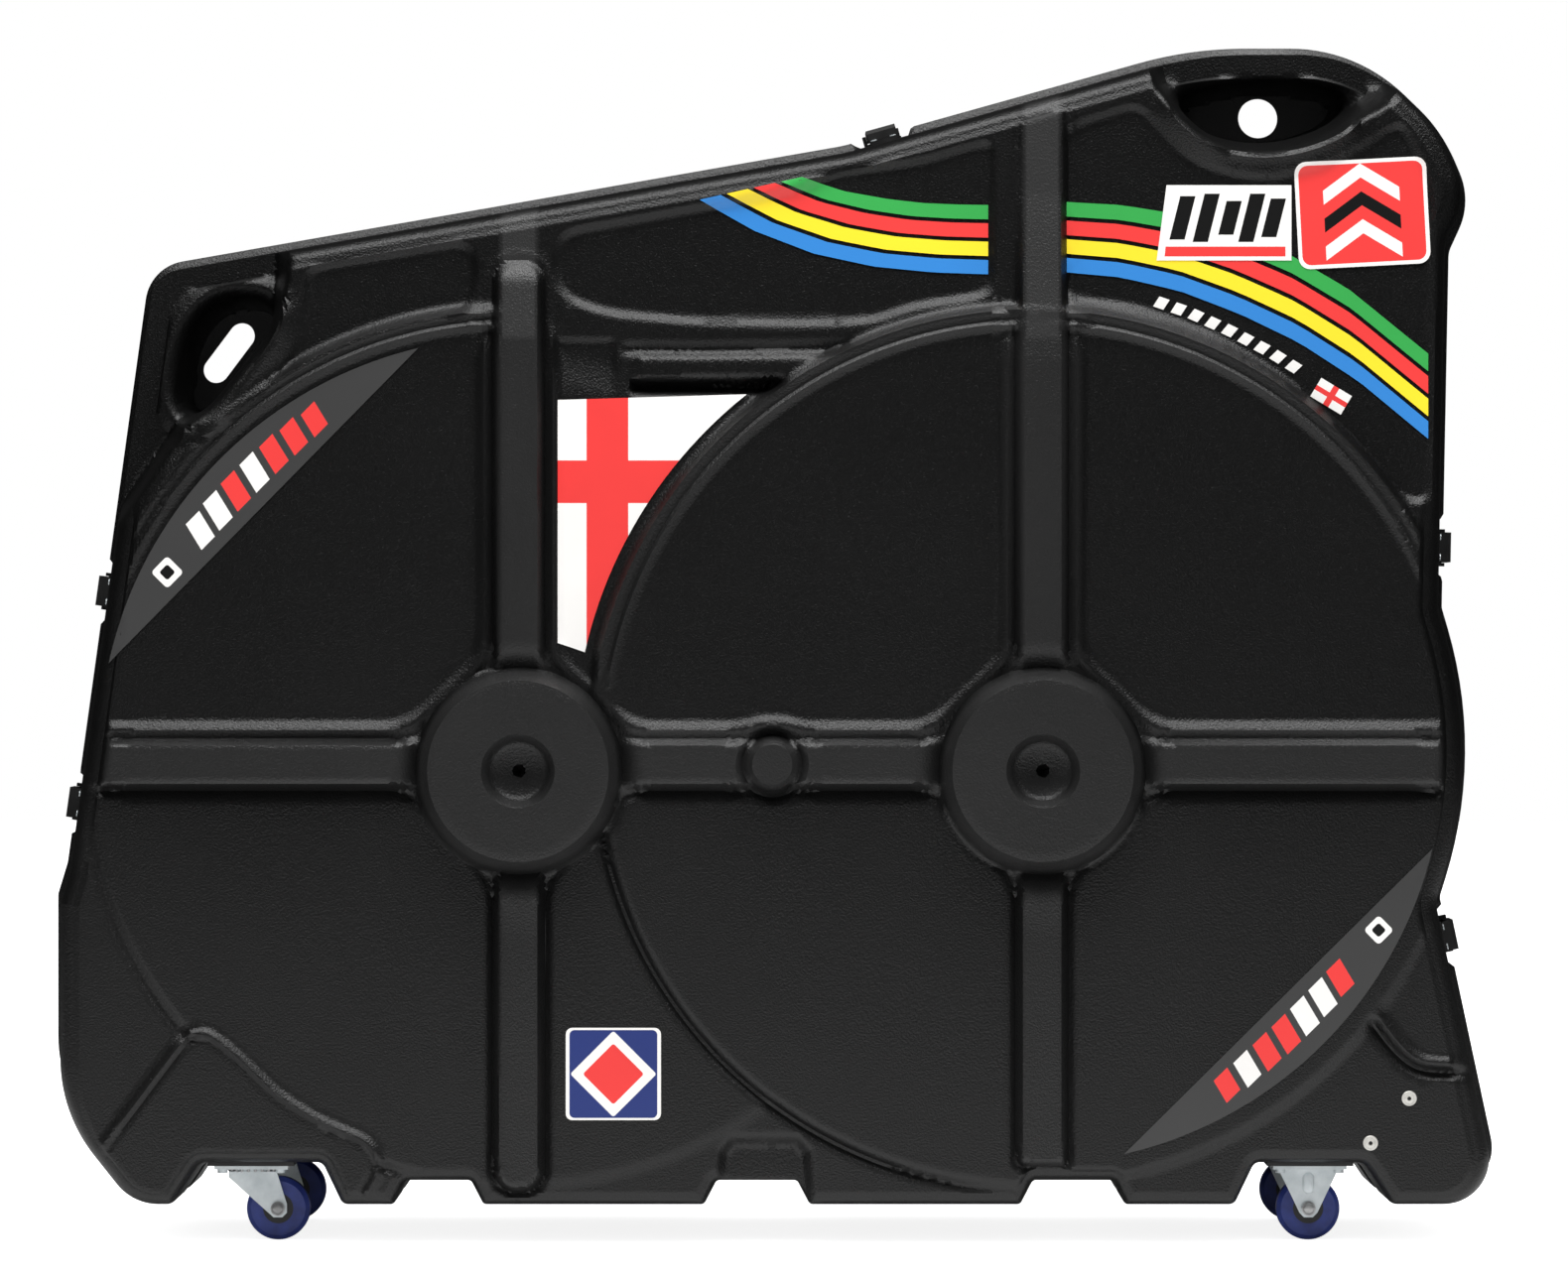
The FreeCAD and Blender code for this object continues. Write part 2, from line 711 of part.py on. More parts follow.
def pad(body, name, sketch, width):
    """Grow a sketch to both sides by half a width each."""
    grown = body.newObject("PartDesign::Pad", name)
    grown.Profile = sketch
    grown.SideType = "Symmetric"
    bind(grown, Length=width)
    return grown


def pocket(body, name, sketch, width):
    """Cut a sketch to both sides by half a width each."""
    hollow = body.newObject("PartDesign::Pocket", name)
    hollow.Profile = sketch
    hollow.SideType = "Symmetric"
    bind(hollow, Length=width)
    return hollow


def spin(body, name, sketch):
    """Turn a sketch of x, y points round the body's Y axis."""
    turned = body.newObject("PartDesign::Revolution", name)
    turned.Profile = sketch
    axis = [part for part in body.Origin.OriginFeatures if part.Role == "Y_Axis"][0]
    turned.ReferenceAxis = (axis, [""])
    turned.Angle = 360
    return turned


def body_piece(name):
    """A PartDesign body that is one finished sub-part."""
    return piece(name, doc.addObject("PartDesign::Body", name))


# Hinges: three under the keel, each below a notch in the bottom edge.
hinge_shares = {"left": -0.229, "middle": -0.0122, "right": 0.2027}
hinge_axis = "keel_height - hinge_drop"


def hinge_leaf(name, centre, side, spans, bore):
    """One leaf on the lid (side -1) or the base (side 1), with a barrel over each span of its length."""
    ends = ("hinge_root", "hinge_leaf_reach") if side > 0 else ("-hinge_leaf_reach", "-hinge_root")
    webs = ("0", "hinge_root") if side > 0 else ("-hinge_root", "0")
    z_leaf = ("keel_height - hinge_leaf", "keel_height")
    z_web = ("keel_height - hinge_web", "keel_height")
    half = "hinge_length / 2"
    x_span = ("%s - %s" % (centre, half), "%s + %s" % (centre, half))
    solids = [block(name + "_plate", x_span, ends, z_leaf)]
    for i, (start, end) in enumerate(spans):
        span = ("%s + %s" % (centre, start), "%s + %s" % (centre, end))
        solids.append(block("%s_web_%d" % (name, i), span, webs, z_web))
        run = "(%s) - (%s)" % (end, start)
        solids.append(rod("%s_barrel_%d" % (name, i), "hinge_barrel", "x", (span[0], "0", hinge_axis), run))
    start = ("%s - hinge_length" % centre, "0", hinge_axis)
    hole = rod(name + "_bore", bore, "x", start, "2 * hinge_length")
    return piece(name, cut(name, fuse(name + "_whole", *solids), hole))


hinge_pins = []
hinge_rivets = {"front": [], "rear": []}
for place, share in hinge_shares.items():
    centre = "case_length * %s" % share
    middle = [("-hinge_middle / 2", "hinge_middle / 2")]
    outer = [
        ("-hinge_length / 2", "-hinge_middle / 2 - clearance"),
        ("hinge_middle / 2 + clearance", "hinge_length / 2"),
    ]
    hinge_leaf("hinge_%s_front_leaf" % place, centre, -1, middle, "hinge_pin_radius + pin_play")
    hinge_leaf("hinge_%s_rear_leaf" % place, centre, 1, outer, "hinge_pin_radius")
    pin_start = ("%s - hinge_length / 2" % centre, "0", hinge_axis)
    hinge_pins.append(rod("hinge_%s_pin" % place, "hinge_pin_radius", "x", pin_start, "hinge_length"))
    for half, side in (("front", -1), ("rear", 1)):
        for way in (-1, 1):
            start = (
                "%s + %d * hinge_rivet_x" % (centre, way),
                "%d * hinge_rivet_y" % side,
                "keel_height - hinge_leaf - hinge_rivet_head",
            )
            name = "hinge_%s_%s_rivet_%d" % (place, half, way + 1)
            hinge_rivets[half].append(rod(name, "hinge_rivet_radius", "z", start, "hinge_rivet_head"))
group("hinge_pins", hinge_pins)
for half in ("front", "rear"):
    group("hinge_rivets_" + half, hinge_rivets[half])


# Catches: a base and lever on the base half, a keeper on the lid, each section drawn across the seam.
plate_top = "-rim_width + catch_plate"
claw_back = "-catch_lip_start - catch_lip - clearance"
claw_front = claw_back + " - catch_claw"


def catch_floor(reach):
    """How far below the rim line the drafted wall lies at a distance from the seam."""
    run = "(face_depth - shoulder_drop - seam_gap / 2)"
    return "-rim_width - side_draft * (%s - seam_gap / 2) / %s" % (reach, run)


def catch_base(name):
    """The plate with two cheeks that hold the pivot pin."""
    body = body_piece(name)
    cheek_top = "2 * catch_pin_radius"
    section = [
        ("catch_base_start", catch_floor("catch_base_start")),
        ("catch_base_reach", catch_floor("catch_base_reach")),
        ("catch_base_reach", plate_top),
        ("catch_pivot + catch_cheek", plate_top),
        ("catch_pivot + catch_cheek", cheek_top),
        ("catch_pivot - catch_cheek", cheek_top),
        ("catch_pivot - catch_cheek", plate_top),
        ("catch_base_start", plate_top),
    ]
    pad(body, name + "_block", profile(body, name + "_section", "YZ_Plane", section), "catch_base_width")
    room = [
        ("catch_pivot - 2 * catch_cheek", plate_top),
        ("catch_pivot + 2 * catch_cheek", plate_top),
        ("catch_pivot + 2 * catch_cheek", "catch_pivot"),
        ("catch_pivot - 2 * catch_cheek", "catch_pivot"),
    ]
    pocket(body, name + "_room", profile(body, name + "_room_sketch", "YZ_Plane", room),
           "catch_lever_width + 2 * clearance")
    bore = ring(body, name + "_bore_sketch", "YZ_Plane", "catch_pivot", "0", "catch_pin_radius")
    pocket(body, name + "_bore", bore, "2 * catch_base_width")
    return body


def catch_lever(name):
    """The lever, with the claw at its free end."""
    body = body_piece(name)
    section = [
        ("catch_pivot + catch_lever_heel", "-catch_lever_heel / 2"),
        ("catch_pivot + catch_lever_heel", "catch_lever_heel"),
        ("catch_pivot", "catch_lever_top"),
        (claw_front + " + catch_chamfer", "catch_lever_top"),
        (claw_front, "catch_lever_top - catch_chamfer"),
        (claw_front, "catch_lever_under - catch_claw_drop"),
        (claw_back, "catch_lever_under - catch_claw_drop"),
        (claw_back, "catch_lever_under"),
        ("catch_pivot - catch_lever_heel", "catch_lever_under"),
        ("catch_pivot - catch_lever_heel", "-catch_lever_heel / 2"),
    ]
    pad(body, name + "_block", profile(body, name + "_section", "YZ_Plane", section), "catch_lever_width")
    bore = ring(body, name + "_bore_sketch", "YZ_Plane", "catch_pivot", "0", "catch_pin_radius + pin_play")
    pocket(body, name + "_bore", bore, "2 * catch_base_width")
    return body


def catch_keeper(name):
    """The plate on the lid with the lip that the claw hooks over."""
    body = body_piece(name)
    lip_top = "catch_lever_under - 2 * clearance"
    section = [
        ("-catch_base_start", catch_floor("catch_base_start")),
        ("-catch_base_start", plate_top),
        ("-catch_lip_start", plate_top),
        ("-catch_lip_start", lip_top),
        ("-catch_lip_start - catch_lip", lip_top),
        ("-catch_lip_start - catch_lip", plate_top),
        ("-catch_keeper_reach", plate_top),
        ("-catch_keeper_reach", catch_floor("catch_keeper_reach")),
    ]
    pad(body, name + "_block", profile(body, name + "_section", "YZ_Plane", section), "catch_keeper_width")
    return body


def local_rod(name, place, radius, run, point, turn):
    """A cylinder placed in a catch's own frame."""
    thing = doc.addObject("Part::Cylinder", name)
    bind(thing, Radius=radius, Height=run)
    thing.Placement = place.multiply(FreeCAD.Placement(Vector(*point), FreeCAD.Rotation(*turn)))
    return thing


catch_pins = []
catch_rivets = {"front": [], "rear": []}
for catch in catch_shares:
    place = catch_place(catch)
    for make, kind in ((catch_base, "base"), (catch_lever, "lever"), (catch_keeper, "keeper")):
        make("catch_%s_%s" % (catch, kind)).Placement = place
    pin_start = (-size("catch_base_width") / 2, size("catch_pivot"), 0)
    catch_pins.append(local_rod("catch_%s_pin" % catch, place, "catch_pin_radius", "catch_base_width",
                                pin_start, turns["x"]))
    for half, y in (("front", -size("catch_rivet_keeper")), ("rear", size("catch_rivet_base"))):
        for way in (-1, 1):
            point = (way * size("catch_rivet_spread"), y, value(plate_top))
            name = "catch_%s_%s_rivet_%d" % (catch, half, way + 1)
            catch_rivets[half].append(local_rod(name, place, "catch_rivet_radius", "catch_rivet_head",
                                                point, turns["z"]))
group("catch_pins", catch_pins)
for half in ("front", "rear"):
    group("catch_rivets_" + half, catch_rivets[half])


# Casters: the left pair swivels and the right pair is fixed. The lid carries the front two.
plate_under = "well_height - pad_thick - plate_thick"
crown_top = plate_under + " - race_thick - clearance"
crown_under = crown_top + " - fork_crown"
fork_width = "fork_gap + 2 * fork_sheet"


def fork_slot(body, name, roof):
    """Open the fork between its legs for the wheel, and bore it for the axle."""
    room = [
        ("-fork_gap / 2", "-wheel_radius"),
        ("fork_gap / 2", "-wheel_radius"),
        ("fork_gap / 2", roof),
        ("-fork_gap / 2", roof),
    ]
    pocket(body, name + "_slot", profile(body, name + "_slot_sketch", "YZ_Plane", room), "4 * well_height")


def swivel_fork(name, y):
    """A raked fork under a flat crown, turning on the kingpin."""
    body = body_piece(name)
    side = [
        ("-fork_half", crown_top),
        ("fork_half", crown_top),
        ("swivel_trail + fork_tip", "wheel_radius + fork_tip / 2"),
        ("swivel_trail + fork_tip", "wheel_radius - fork_tip / 2"),
        ("swivel_trail + fork_tip / 2", "wheel_radius - fork_tip"),
        ("swivel_trail - fork_tip / 2", "wheel_radius - fork_tip"),
        ("-fork_half", crown_under + " - fork_crown"),
    ]
    pad(body, name + "_legs", profile(body, name + "_side", "XZ_Plane", side), fork_width)
    fork_slot(body, name, crown_under)
    axle = ring(body, name + "_axle_sketch", "XZ_Plane", "swivel_trail", "wheel_radius", "axle_radius")
    pocket(body, name + "_axle", axle, "2 * (%s)" % fork_width)
    king = ring(body, name + "_king_sketch", "XY_Plane", "0", "0", "kingpin_radius + pin_play")
    pocket(body, name + "_king", king, "4 * well_height")
    return bind(body, Placement_Base_x="swivel_x", Placement_Base_y=y)


def fixed_fork(name, y):
    """Two tapered legs under a plate, pressed from one sheet."""
    body = body_piece(name)
    side = [
        ("-fixed_fork_half", plate_under),
        ("fixed_fork_half", plate_under),
        ("fork_tip", "wheel_radius - fork_tip / 2"),
        ("fork_tip / 2", "wheel_radius - fork_tip"),
        ("-fork_tip / 2", "wheel_radius - fork_tip"),
        ("-fork_tip", "wheel_radius - fork_tip / 2"),
    ]
    pad(body, name + "_legs", profile(body, name + "_side", "XZ_Plane", side), fork_width)
    plate = [
        ("-plate_side / 2", plate_under),
        ("plate_side / 2", plate_under),
        ("plate_side / 2", "well_height - pad_thick"),
        ("-plate_side / 2", "well_height - pad_thick"),
    ]
    pad(body, name + "_plate", profile(body, name + "_plate_sketch", "XZ_Plane", plate), "plate_side")
    fork_slot(body, name, plate_under)
    axle = ring(body, name + "_axle_sketch", "XZ_Plane", "0", "wheel_radius", "axle_radius")
    pocket(body, name + "_axle", axle, "2 * (%s)" % fork_width)
    return bind(body, Placement_Base_x="fixed_x", Placement_Base_y=y)


def top_plate(name, y):
    """The swivel caster's plate, with its ball race and headed kingpin."""
    z_plate = (plate_under, "well_height - pad_thick")
    head = crown_under + " - clearance - kingpin_head"
    middle = ("swivel_x", y)
    plate = block(name + "_sheet", ("swivel_x - plate_side / 2", "swivel_x + plate_side / 2"),
                  (y + " - plate_side / 2", y + " + plate_side / 2"), z_plate)
    race = rod(name + "_race", "race_radius", "z", (*middle, plate_under + " - race_thick"), "race_thick")
    king = rod(name + "_king", "kingpin_radius", "z", (*middle, head), plate_under + " - (%s)" % head)
    button = rod(name + "_head", "kingpin_head_radius", "z", (*middle, head), "kingpin_head")
    return piece(name, fuse(name, plate, race, king, button))


def wheel(name, x, y):
    """Tyre, core and axle bolt of one wheel."""
    half = "tyre_width / 2"
    tyre = body_piece(name + "_tyre")
    tread = [
        ("core_radius", "-" + half),
        ("wheel_radius - wheel_shoulder", "-" + half),
        ("wheel_radius", "wheel_shoulder - " + half),
        ("wheel_radius", half + " - wheel_shoulder"),
        ("wheel_radius - wheel_shoulder", half),
        ("core_radius", half),
    ]
    spin(tyre, name + "_tyre_turn", profile(tyre, name + "_tread", "XY_Plane", tread))
    core = body_piece(name + "_core")
    drum = [
        ("axle_radius + pin_play", "-" + half),
        ("core_radius", "-" + half),
        ("core_radius", half),
        ("axle_radius + pin_play", half),
    ]
    spin(core, name + "_core_turn", profile(core, name + "_drum", "XY_Plane", drum))
    for body in (tyre, core):
        bind(body, Placement_Base_x=x, Placement_Base_y=y, Placement_Base_z="wheel_radius")
    start = "%s - (%s) / 2" % (y, fork_width)
    shaft = rod(name + "_shaft", "axle_radius", "y", (x, start, "wheel_radius"), fork_width)
    head_start = (x, start + " - axle_head", "wheel_radius")
    nut_start = (x, start + " + " + fork_width, "wheel_radius")
    head = rod(name + "_bolt_head", "axle_head_radius", "y", head_start, "axle_head")
    nut = rod(name + "_nut", "axle_head_radius", "y", nut_start, "axle_head")
    piece(name + "_axle", fuse(name + "_axle", shaft, head, nut))


for half, side in (("front", "-caster_y"), ("rear", "caster_y")):
    bolts = []
    for hand, x in (("left", "swivel_x"), ("right", "fixed_x")):
        name = "caster_%s_%s" % (half, hand)
        piece(name + "_pad", block(name + "_pad", (x + " - pad_side / 2", x + " + pad_side / 2"),
                                   (side + " - pad_side / 2", side + " + pad_side / 2"),
                                   ("well_height - pad_thick", "well_height")))
        for way_x in ("-", "+"):
            for way_y in ("-", "+"):
                start = (
                    "%s %s caster_bolt_spread" % (x, way_x),
                    "%s %s caster_bolt_spread" % (side, way_y),
                    plate_under + " - caster_bolt_head",
                )
                bolt = "%s_bolt_%d" % (name, len(bolts))
                bolts.append(rod(bolt, "caster_bolt_radius", "z", start, "caster_bolt_head"))
    group("caster_bolts_" + half, bolts)
    top_plate("caster_%s_left_plate" % half, side)
    swivel_fork("caster_%s_left_fork" % half, side)
    wheel("caster_%s_left" % half, "swivel_x + swivel_trail", side)
    fixed_fork("caster_%s_right_fork" % half, side)
    wheel("caster_%s_right" % half, "fixed_x", side)


# Rivets through the right foot, on both faces of the case.
for half, start_y in (("front", "-face_depth - foot_rivet_head"), ("rear", "face_depth")):
    rivets = []
    for level in ("upper", "lower"):
        start = ("foot_rivet_%s_x" % level, start_y, "foot_rivet_%s_height" % level)
        name = "foot_rivet_%s_%s" % (half, level)
        rivets.append(rod(name, "foot_rivet_radius", "y", start, "foot_rivet_head"))
    group("foot_rivets_" + half, rivets)


# Foam against both faces, open round the anti-crush pole.
inner_face = "face_depth - wall"
for half, span in (
    ("front", ("-(%s)" % inner_face, "foam_thick - (%s)" % inner_face)),
    ("rear", (inner_face + " - foam_thick", inner_face)),
):
    name = "foam_pad_" + half
    slab = block(name + "_slab", ("-foam_x", "foam_x"), span, ("foam_bottom", "foam_height"))
    start = ("boss_x", span[0] + " - foam_thick", "bar_height")
    hole = rod(name + "_hole", "foam_hole", "y", start, "3 * foam_thick")
    piece(name, cut(name, slab, hole))

# The pole stands inside the base half's upper wheel disc and ends just short of the lid's.
pole = body_piece("anti_crush_pole")
pole_start = inner_face + " + disc_rise + disc_stack"
pole_end = "pole_slack - (%s)" % pole_start
spool = [
    ("0", pole_start),
    ("pole_flange", pole_start),
    ("pole_flange", pole_start + " - pole_flange_thick"),
    ("pole_radius", pole_start + " - pole_flange_thick"),
    ("pole_radius", pole_end + " + pole_flange_thick"),
    ("pole_flange", pole_end + " + pole_flange_thick"),
    ("pole_flange", pole_end),
    ("0", pole_end),
]
spin(pole, "pole_turn", profile(pole, "pole_spool", "XY_Plane", spool))
bind(pole, Placement_Base_x="boss_x", Placement_Base_z="bar_height")

doc.recompute()

# Every object has to be sound before anything is written.
for thing in doc.Objects:
    if "Invalid" in thing.State or "Error" in thing.State:
        raise RuntimeError("%s did not rebuild: %s" % (thing.Name, thing.State))
for thing in pieces:
    if thing.Shape.isNull() or not thing.Shape.isValid():
        raise RuntimeError("%s has no sound shape" % thing.Label)

os.makedirs("parts", exist_ok=True)
for thing in pieces:
    thing.Shape.exportStep("parts/%s.step" % thing.Label)
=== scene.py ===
"""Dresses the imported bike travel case: formed shells, stickers, fittings, floor, light and camera."""
import math

import bpy
import numpy as np
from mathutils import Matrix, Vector
from mathutils.geometry import delaunay_2d_cdt


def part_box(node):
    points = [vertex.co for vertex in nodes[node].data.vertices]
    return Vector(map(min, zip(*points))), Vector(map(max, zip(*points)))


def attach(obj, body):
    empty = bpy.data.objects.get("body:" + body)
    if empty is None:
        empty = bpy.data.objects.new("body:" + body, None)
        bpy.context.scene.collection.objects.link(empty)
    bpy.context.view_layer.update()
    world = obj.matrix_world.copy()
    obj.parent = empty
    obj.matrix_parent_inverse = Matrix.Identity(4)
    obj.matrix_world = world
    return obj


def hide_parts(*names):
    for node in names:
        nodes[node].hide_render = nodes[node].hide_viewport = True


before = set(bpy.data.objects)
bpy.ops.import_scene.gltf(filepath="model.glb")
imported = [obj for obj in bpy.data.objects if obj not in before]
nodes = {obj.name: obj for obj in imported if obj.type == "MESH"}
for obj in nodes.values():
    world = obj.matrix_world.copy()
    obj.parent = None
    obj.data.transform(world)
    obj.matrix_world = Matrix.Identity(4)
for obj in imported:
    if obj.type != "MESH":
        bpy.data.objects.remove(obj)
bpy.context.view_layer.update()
scene = bpy.context.scene
MM = 0.001

# Picture: size in pixels, camera distance and place in millimetres, and millimetres per pixel at the seam
PICTURE_WIDTH, PICTURE_HEIGHT = 1580, 1293
CAMERA_DISTANCE, SEAM_SCALE = 6200, 0.80
CAMERA_X, CAMERA_Z = 7.2, 473.5
MIDDLE_X, MIDDLE_Y = PICTURE_WIDTH / 2, PICTURE_HEIGHT / 2
FACE_LEVEL = 162
SOFT_STEP, SOFT_ROUNDS = 8, 3


def spot(px, py, level=FACE_LEVEL):
    """The place, in millimetres along and up, of a picture point at one level out from the seam."""
    scale = SEAM_SCALE * (CAMERA_DISTANCE - level) / CAMERA_DISTANCE
    return (px - MIDDLE_X) * scale + CAMERA_X, CAMERA_Z - (py - MIDDLE_Y) * scale


def spots(*points, level=FACE_LEVEL):
    """Places of several picture points at one level."""
    return [spot(px, py, level) for px, py in points]


def stepped(points, count_of):
    """A closed line of points, with each side divided into a count that its length gives."""
    line = []
    for i, (x_a, z_a) in enumerate(points):
        x_b, z_b = points[(i + 1) % len(points)]
        count = count_of(math.hypot(x_b - x_a, z_b - z_a))
        line += [(x_a + (x_b - x_a) * j / count, z_a + (z_b - z_a) * j / count) for j in range(count)]
    return line


def softened(points, step, rounds):
    """A closed line of evenly spaced points with its corners rounded by averaging."""
    line = np.array(stepped(points, lambda run: max(2, round(run / step))))
    for _ in range(rounds):
        line = (np.roll(line, 1, 0) + 2 * line + np.roll(line, -1, 0)) / 4
    return line


def soft_spots(*points, level=FACE_LEVEL):
    """Places round several picture points at one level, with the corners between them rounded."""
    return softened(spots(*points, level=level), SOFT_STEP, SOFT_ROUNDS)


# Outline at the seam, clockwise from the top left: shares of length, height, arc room and side draft
LENGTH, HEIGHT = 1157, 951
FOOT, WELL, NOTCH, NOTCH_SLOPE = 30, 63, 49, 10
FIXED_X, SWIVEL_X = 0.3647 * LENGTH, -0.3570 * LENGTH
FIXED_WELL_RIGHT, FIXED_WELL_LEFT = 41.5, 44
SWIVEL_WELL_RIGHT, SWIVEL_WELL_LEFT = 56.5, 39.5
WELL_OUTER_SLOPE, WELL_INNER_SLOPE = 22, 16
UPPER_CORNERS = [
    (-0.4349, 0.8150, 0.054, 1.0),
    (0.0477, 0.9177, 0.021, 1.0),
    (0.2897, 1.0, 0.330, 1.0),
    (0.4045, 1.0, 0.550, 1.0),
    (0.4645, 0.9296, 0.450, 1.0),
    (0.4849, 0.8705, 0.550, 1.0),
    (0.4688, 0.8277, 0.100, 1.0),
    (0.4640, 0.5265, 0.014, 1.0),
    (0.4937, 0.4028, 0.870, 1.0),
    (0.4626, 0.2817, 0.025, 1.0),
    (0.5064, FOOT / HEIGHT, 0.4435, 0.0),
]
NOTCHES = [(0.2297, 0.1758), (0.0150, -0.0395), (-0.2071, -0.2509)]
BOTTOM_TAKE = 0.12
LEFT_CORNERS = [
    (-0.4420, FOOT / HEIGHT, 0.550, 0.3),
    (-0.4990, 0.1185, 0.420, 1.0),
    (-0.4990, 0.2842, 0.064, 1.0),
    (-0.4923, 0.3111, 0.034, 1.0),
]
ARC_STEPS, ARC_ROOM = 14, 0.96
EDGE_STEP = 4.0


def dip(right, left, right_slope, left_slope, level):
    """Four corners of a recess in the bottom edge."""
    return [(right + right_slope, FOOT), (right, level), (left, level), (left - left_slope, FOOT)]


def sized(corners):
    """Corners in millimetres from their shares of the length and height."""
    return [(x * LENGTH, z * HEIGHT, take, draft) for x, z, take, draft in corners]


def outline_corners():
    """Corners of the outline: x, z, radius and draft share of the edge that leaves it."""
    bottom = dip(FIXED_X + FIXED_WELL_RIGHT, FIXED_X - FIXED_WELL_LEFT,
                 WELL_OUTER_SLOPE, WELL_INNER_SLOPE, WELL)
    for right, left in NOTCHES:
        bottom += dip(right * LENGTH, left * LENGTH, NOTCH_SLOPE, NOTCH_SLOPE, NOTCH)
    bottom += dip(SWIVEL_X + SWIVEL_WELL_RIGHT, SWIVEL_X - SWIVEL_WELL_LEFT,
                  WELL_INNER_SLOPE, WELL_OUTER_SLOPE, WELL)
    rows = sized(UPPER_CORNERS) + [(x, z, BOTTOM_TAKE, 0.0) for x, z in bottom] + sized(LEFT_CORNERS)
    corners = []
    for i, (x, z, take, draft) in enumerate(rows):
        ahead = rows[(i + 1) % len(rows)]
        before = Vector((x - rows[i - 1][0], z - rows[i - 1][1]))
        after = Vector((ahead[0] - x, ahead[1] - z))
        reach = take * min(before.length, after.length)
        corners.append((x, z, reach / math.tan(before.angle(after) / 2), draft))
    return corners


CORNERS = outline_corners()
EDGE_COUNTS = []
for here, ahead in zip(CORNERS, CORNERS[1:] + CORNERS[:1]):
    EDGE_COUNTS.append(max(1, round(math.dist(here[:2], ahead[:2]) / EDGE_STEP)))


def outline_ring(inset, draft):
    """Points round the outline, drawn in by an inset and by each edge's share of a draft."""
    count = len(CORNERS)
    edges = []
    for i, (x, z, _, share) in enumerate(CORNERS):
        ahead = CORNERS[(i + 1) % count]
        run = Vector((ahead[0] - x, ahead[1] - z)).normalized()
        shift = inset + draft * share
        edges.append((x + run.y * shift, z - run.x * shift, run, shift))
    bends = []
    for i, (_, _, radius, _) in enumerate(CORNERS):
        x_a, z_a, before, shift_a = edges[i - 1]
        x_b, z_b, after, shift_b = edges[i]
        cross = before.x * after.y - before.y * after.x
        step = ((x_b - x_a) * after.y - (z_b - z_a) * after.x) / cross
        shift = min(shift_a, shift_b)
        grown = radius + shift if cross > 0 else max(radius - shift, radius / 2)
        corner = Vector((x_a + before.x * step, z_a + before.y * step))
        half = math.atan2(abs(cross), before.dot(after)) / 2
        bends.append([corner, half, grown * math.tan(half), math.copysign(1, cross)])
    for i in range(count):
        here, ahead = bends[i], bends[(i + 1) % count]
        room = ARC_ROOM * (ahead[0] - here[0]).length / (here[2] + ahead[2])
        if room < 1:
            here[2], ahead[2] = here[2] * room, ahead[2] * room
    arcs = []
    for i, (corner, half, reach, sign) in enumerate(bends):
        before, after = edges[i - 1][2], edges[i][2]
        grown = reach / math.tan(half)
        middle = corner + (after - before).normalized() * (grown / math.cos(half))
        start = math.atan2(*reversed(corner - before * reach - middle))
        turns = [start + sign * 2 * half * j / ARC_STEPS for j in range(ARC_STEPS + 1)]
        arcs.append([(middle.x + grown * math.cos(t), middle.y + grown * math.sin(t)) for t in turns])
    ring = []
    for i, points in enumerate(arcs):
        first, last = np.array(points[-1]), np.array(arcs[(i + 1) % count][0])
        ring += points
        ring += [tuple(first + (last - first) * j / EDGE_COUNTS[i]) for j in range(1, EDGE_COUNTS[i])]
    return np.array(ring)


# Height of the formed face, measured out from the seam, as a field over x and z in millimetres
FACE, WALL = 158, 3
DISC_HEIGHT, DISC_RADIUS, DISC_BOW = 386, 336, 3
DISC_EDGE, DISC_LESS_BELOW = 15, 11
DISC_LEFT, DISC_LEFT_LEVEL, DISC_LEFT_SLOPE = (-204, DISC_HEIGHT), 160, 12
DISC_RIGHT, DISC_RIGHT_LEVEL, DISC_RIGHT_SLOPE = (202, DISC_HEIGHT), 163, 10
LIP_RISE, LIP_BELOW, LIP_RUN = 5, 30, 120
BAR_HEIGHT = 377
HUB_LEFT_X, HUB_RIGHT_X, HUB_HEIGHT = -201, 210, 372
HUB_LEVEL, HUB_RADIUS, HUB_FOOT = 185, 73, 20
HUB_IN, HUB_SLOPE, HUB_BLEND = 2, 2.3, 4
CROWN_WIDTH, CROWN_SLOPE, CROWN_BLEND = 8, 0.2, 2
DISH_RADIUS, DISH_DEPTH, DISH_BOWL_SHARE = 27.5, 18, 0.3
DISH_IN, DISH_STEP = 2, 6
DIMPLE_RADIUS, DIMPLE_DEPTH, DIMPLE_STEP = 2.8, 9, 2
MOAT_LEVEL, MOAT_WIDTH, MOAT_END = 163, 9, HUB_RADIUS + 34
MOAT_SLOPE, MOAT_BLEND = 0.8, 8
BOSS_X, BOSS_LEVEL, BOSS_RADIUS = -2, 177, 18
BOSS_IN, BOSS_SLOPE, BOSS_BLEND = 1, 2.8, 2
BOSS = (BOSS_X, BAR_HEIGHT)
RIB_LEVEL, RIB_HALF, RIB_TURN = 172, 14, 12
RIB_BLEND, RIB_FLARE, RIB_STEP = 10, 3, 7
RIB_LEFT_TOP, RIB_RIGHT_TOP = spot(0, 268)[1], spot(0, 112)[1]
RIB_LEFT_BOTTOM, RIB_RIGHT_BOTTOM = spot(0, 1194)[1], spot(0, 1168)[1]
BAR_LEFT, BAR_RIGHT = spot(36, 0)[0], spot(1452, 0)[0]
LEAN_LEFT, LEAN_RIGHT, LEAN_SLOPE = 712, 694, 0.085
CAP_START, CAP_RUN, CAP_DROP = 752, 26, 13
GRIP_LEVEL, POCKET_FLOOR = 92, 4.5
HOLE_RIGHT, HOLE_RIGHT_RADIUS, HOLE_RIGHT_STEPS = (389, 895), 16, 40
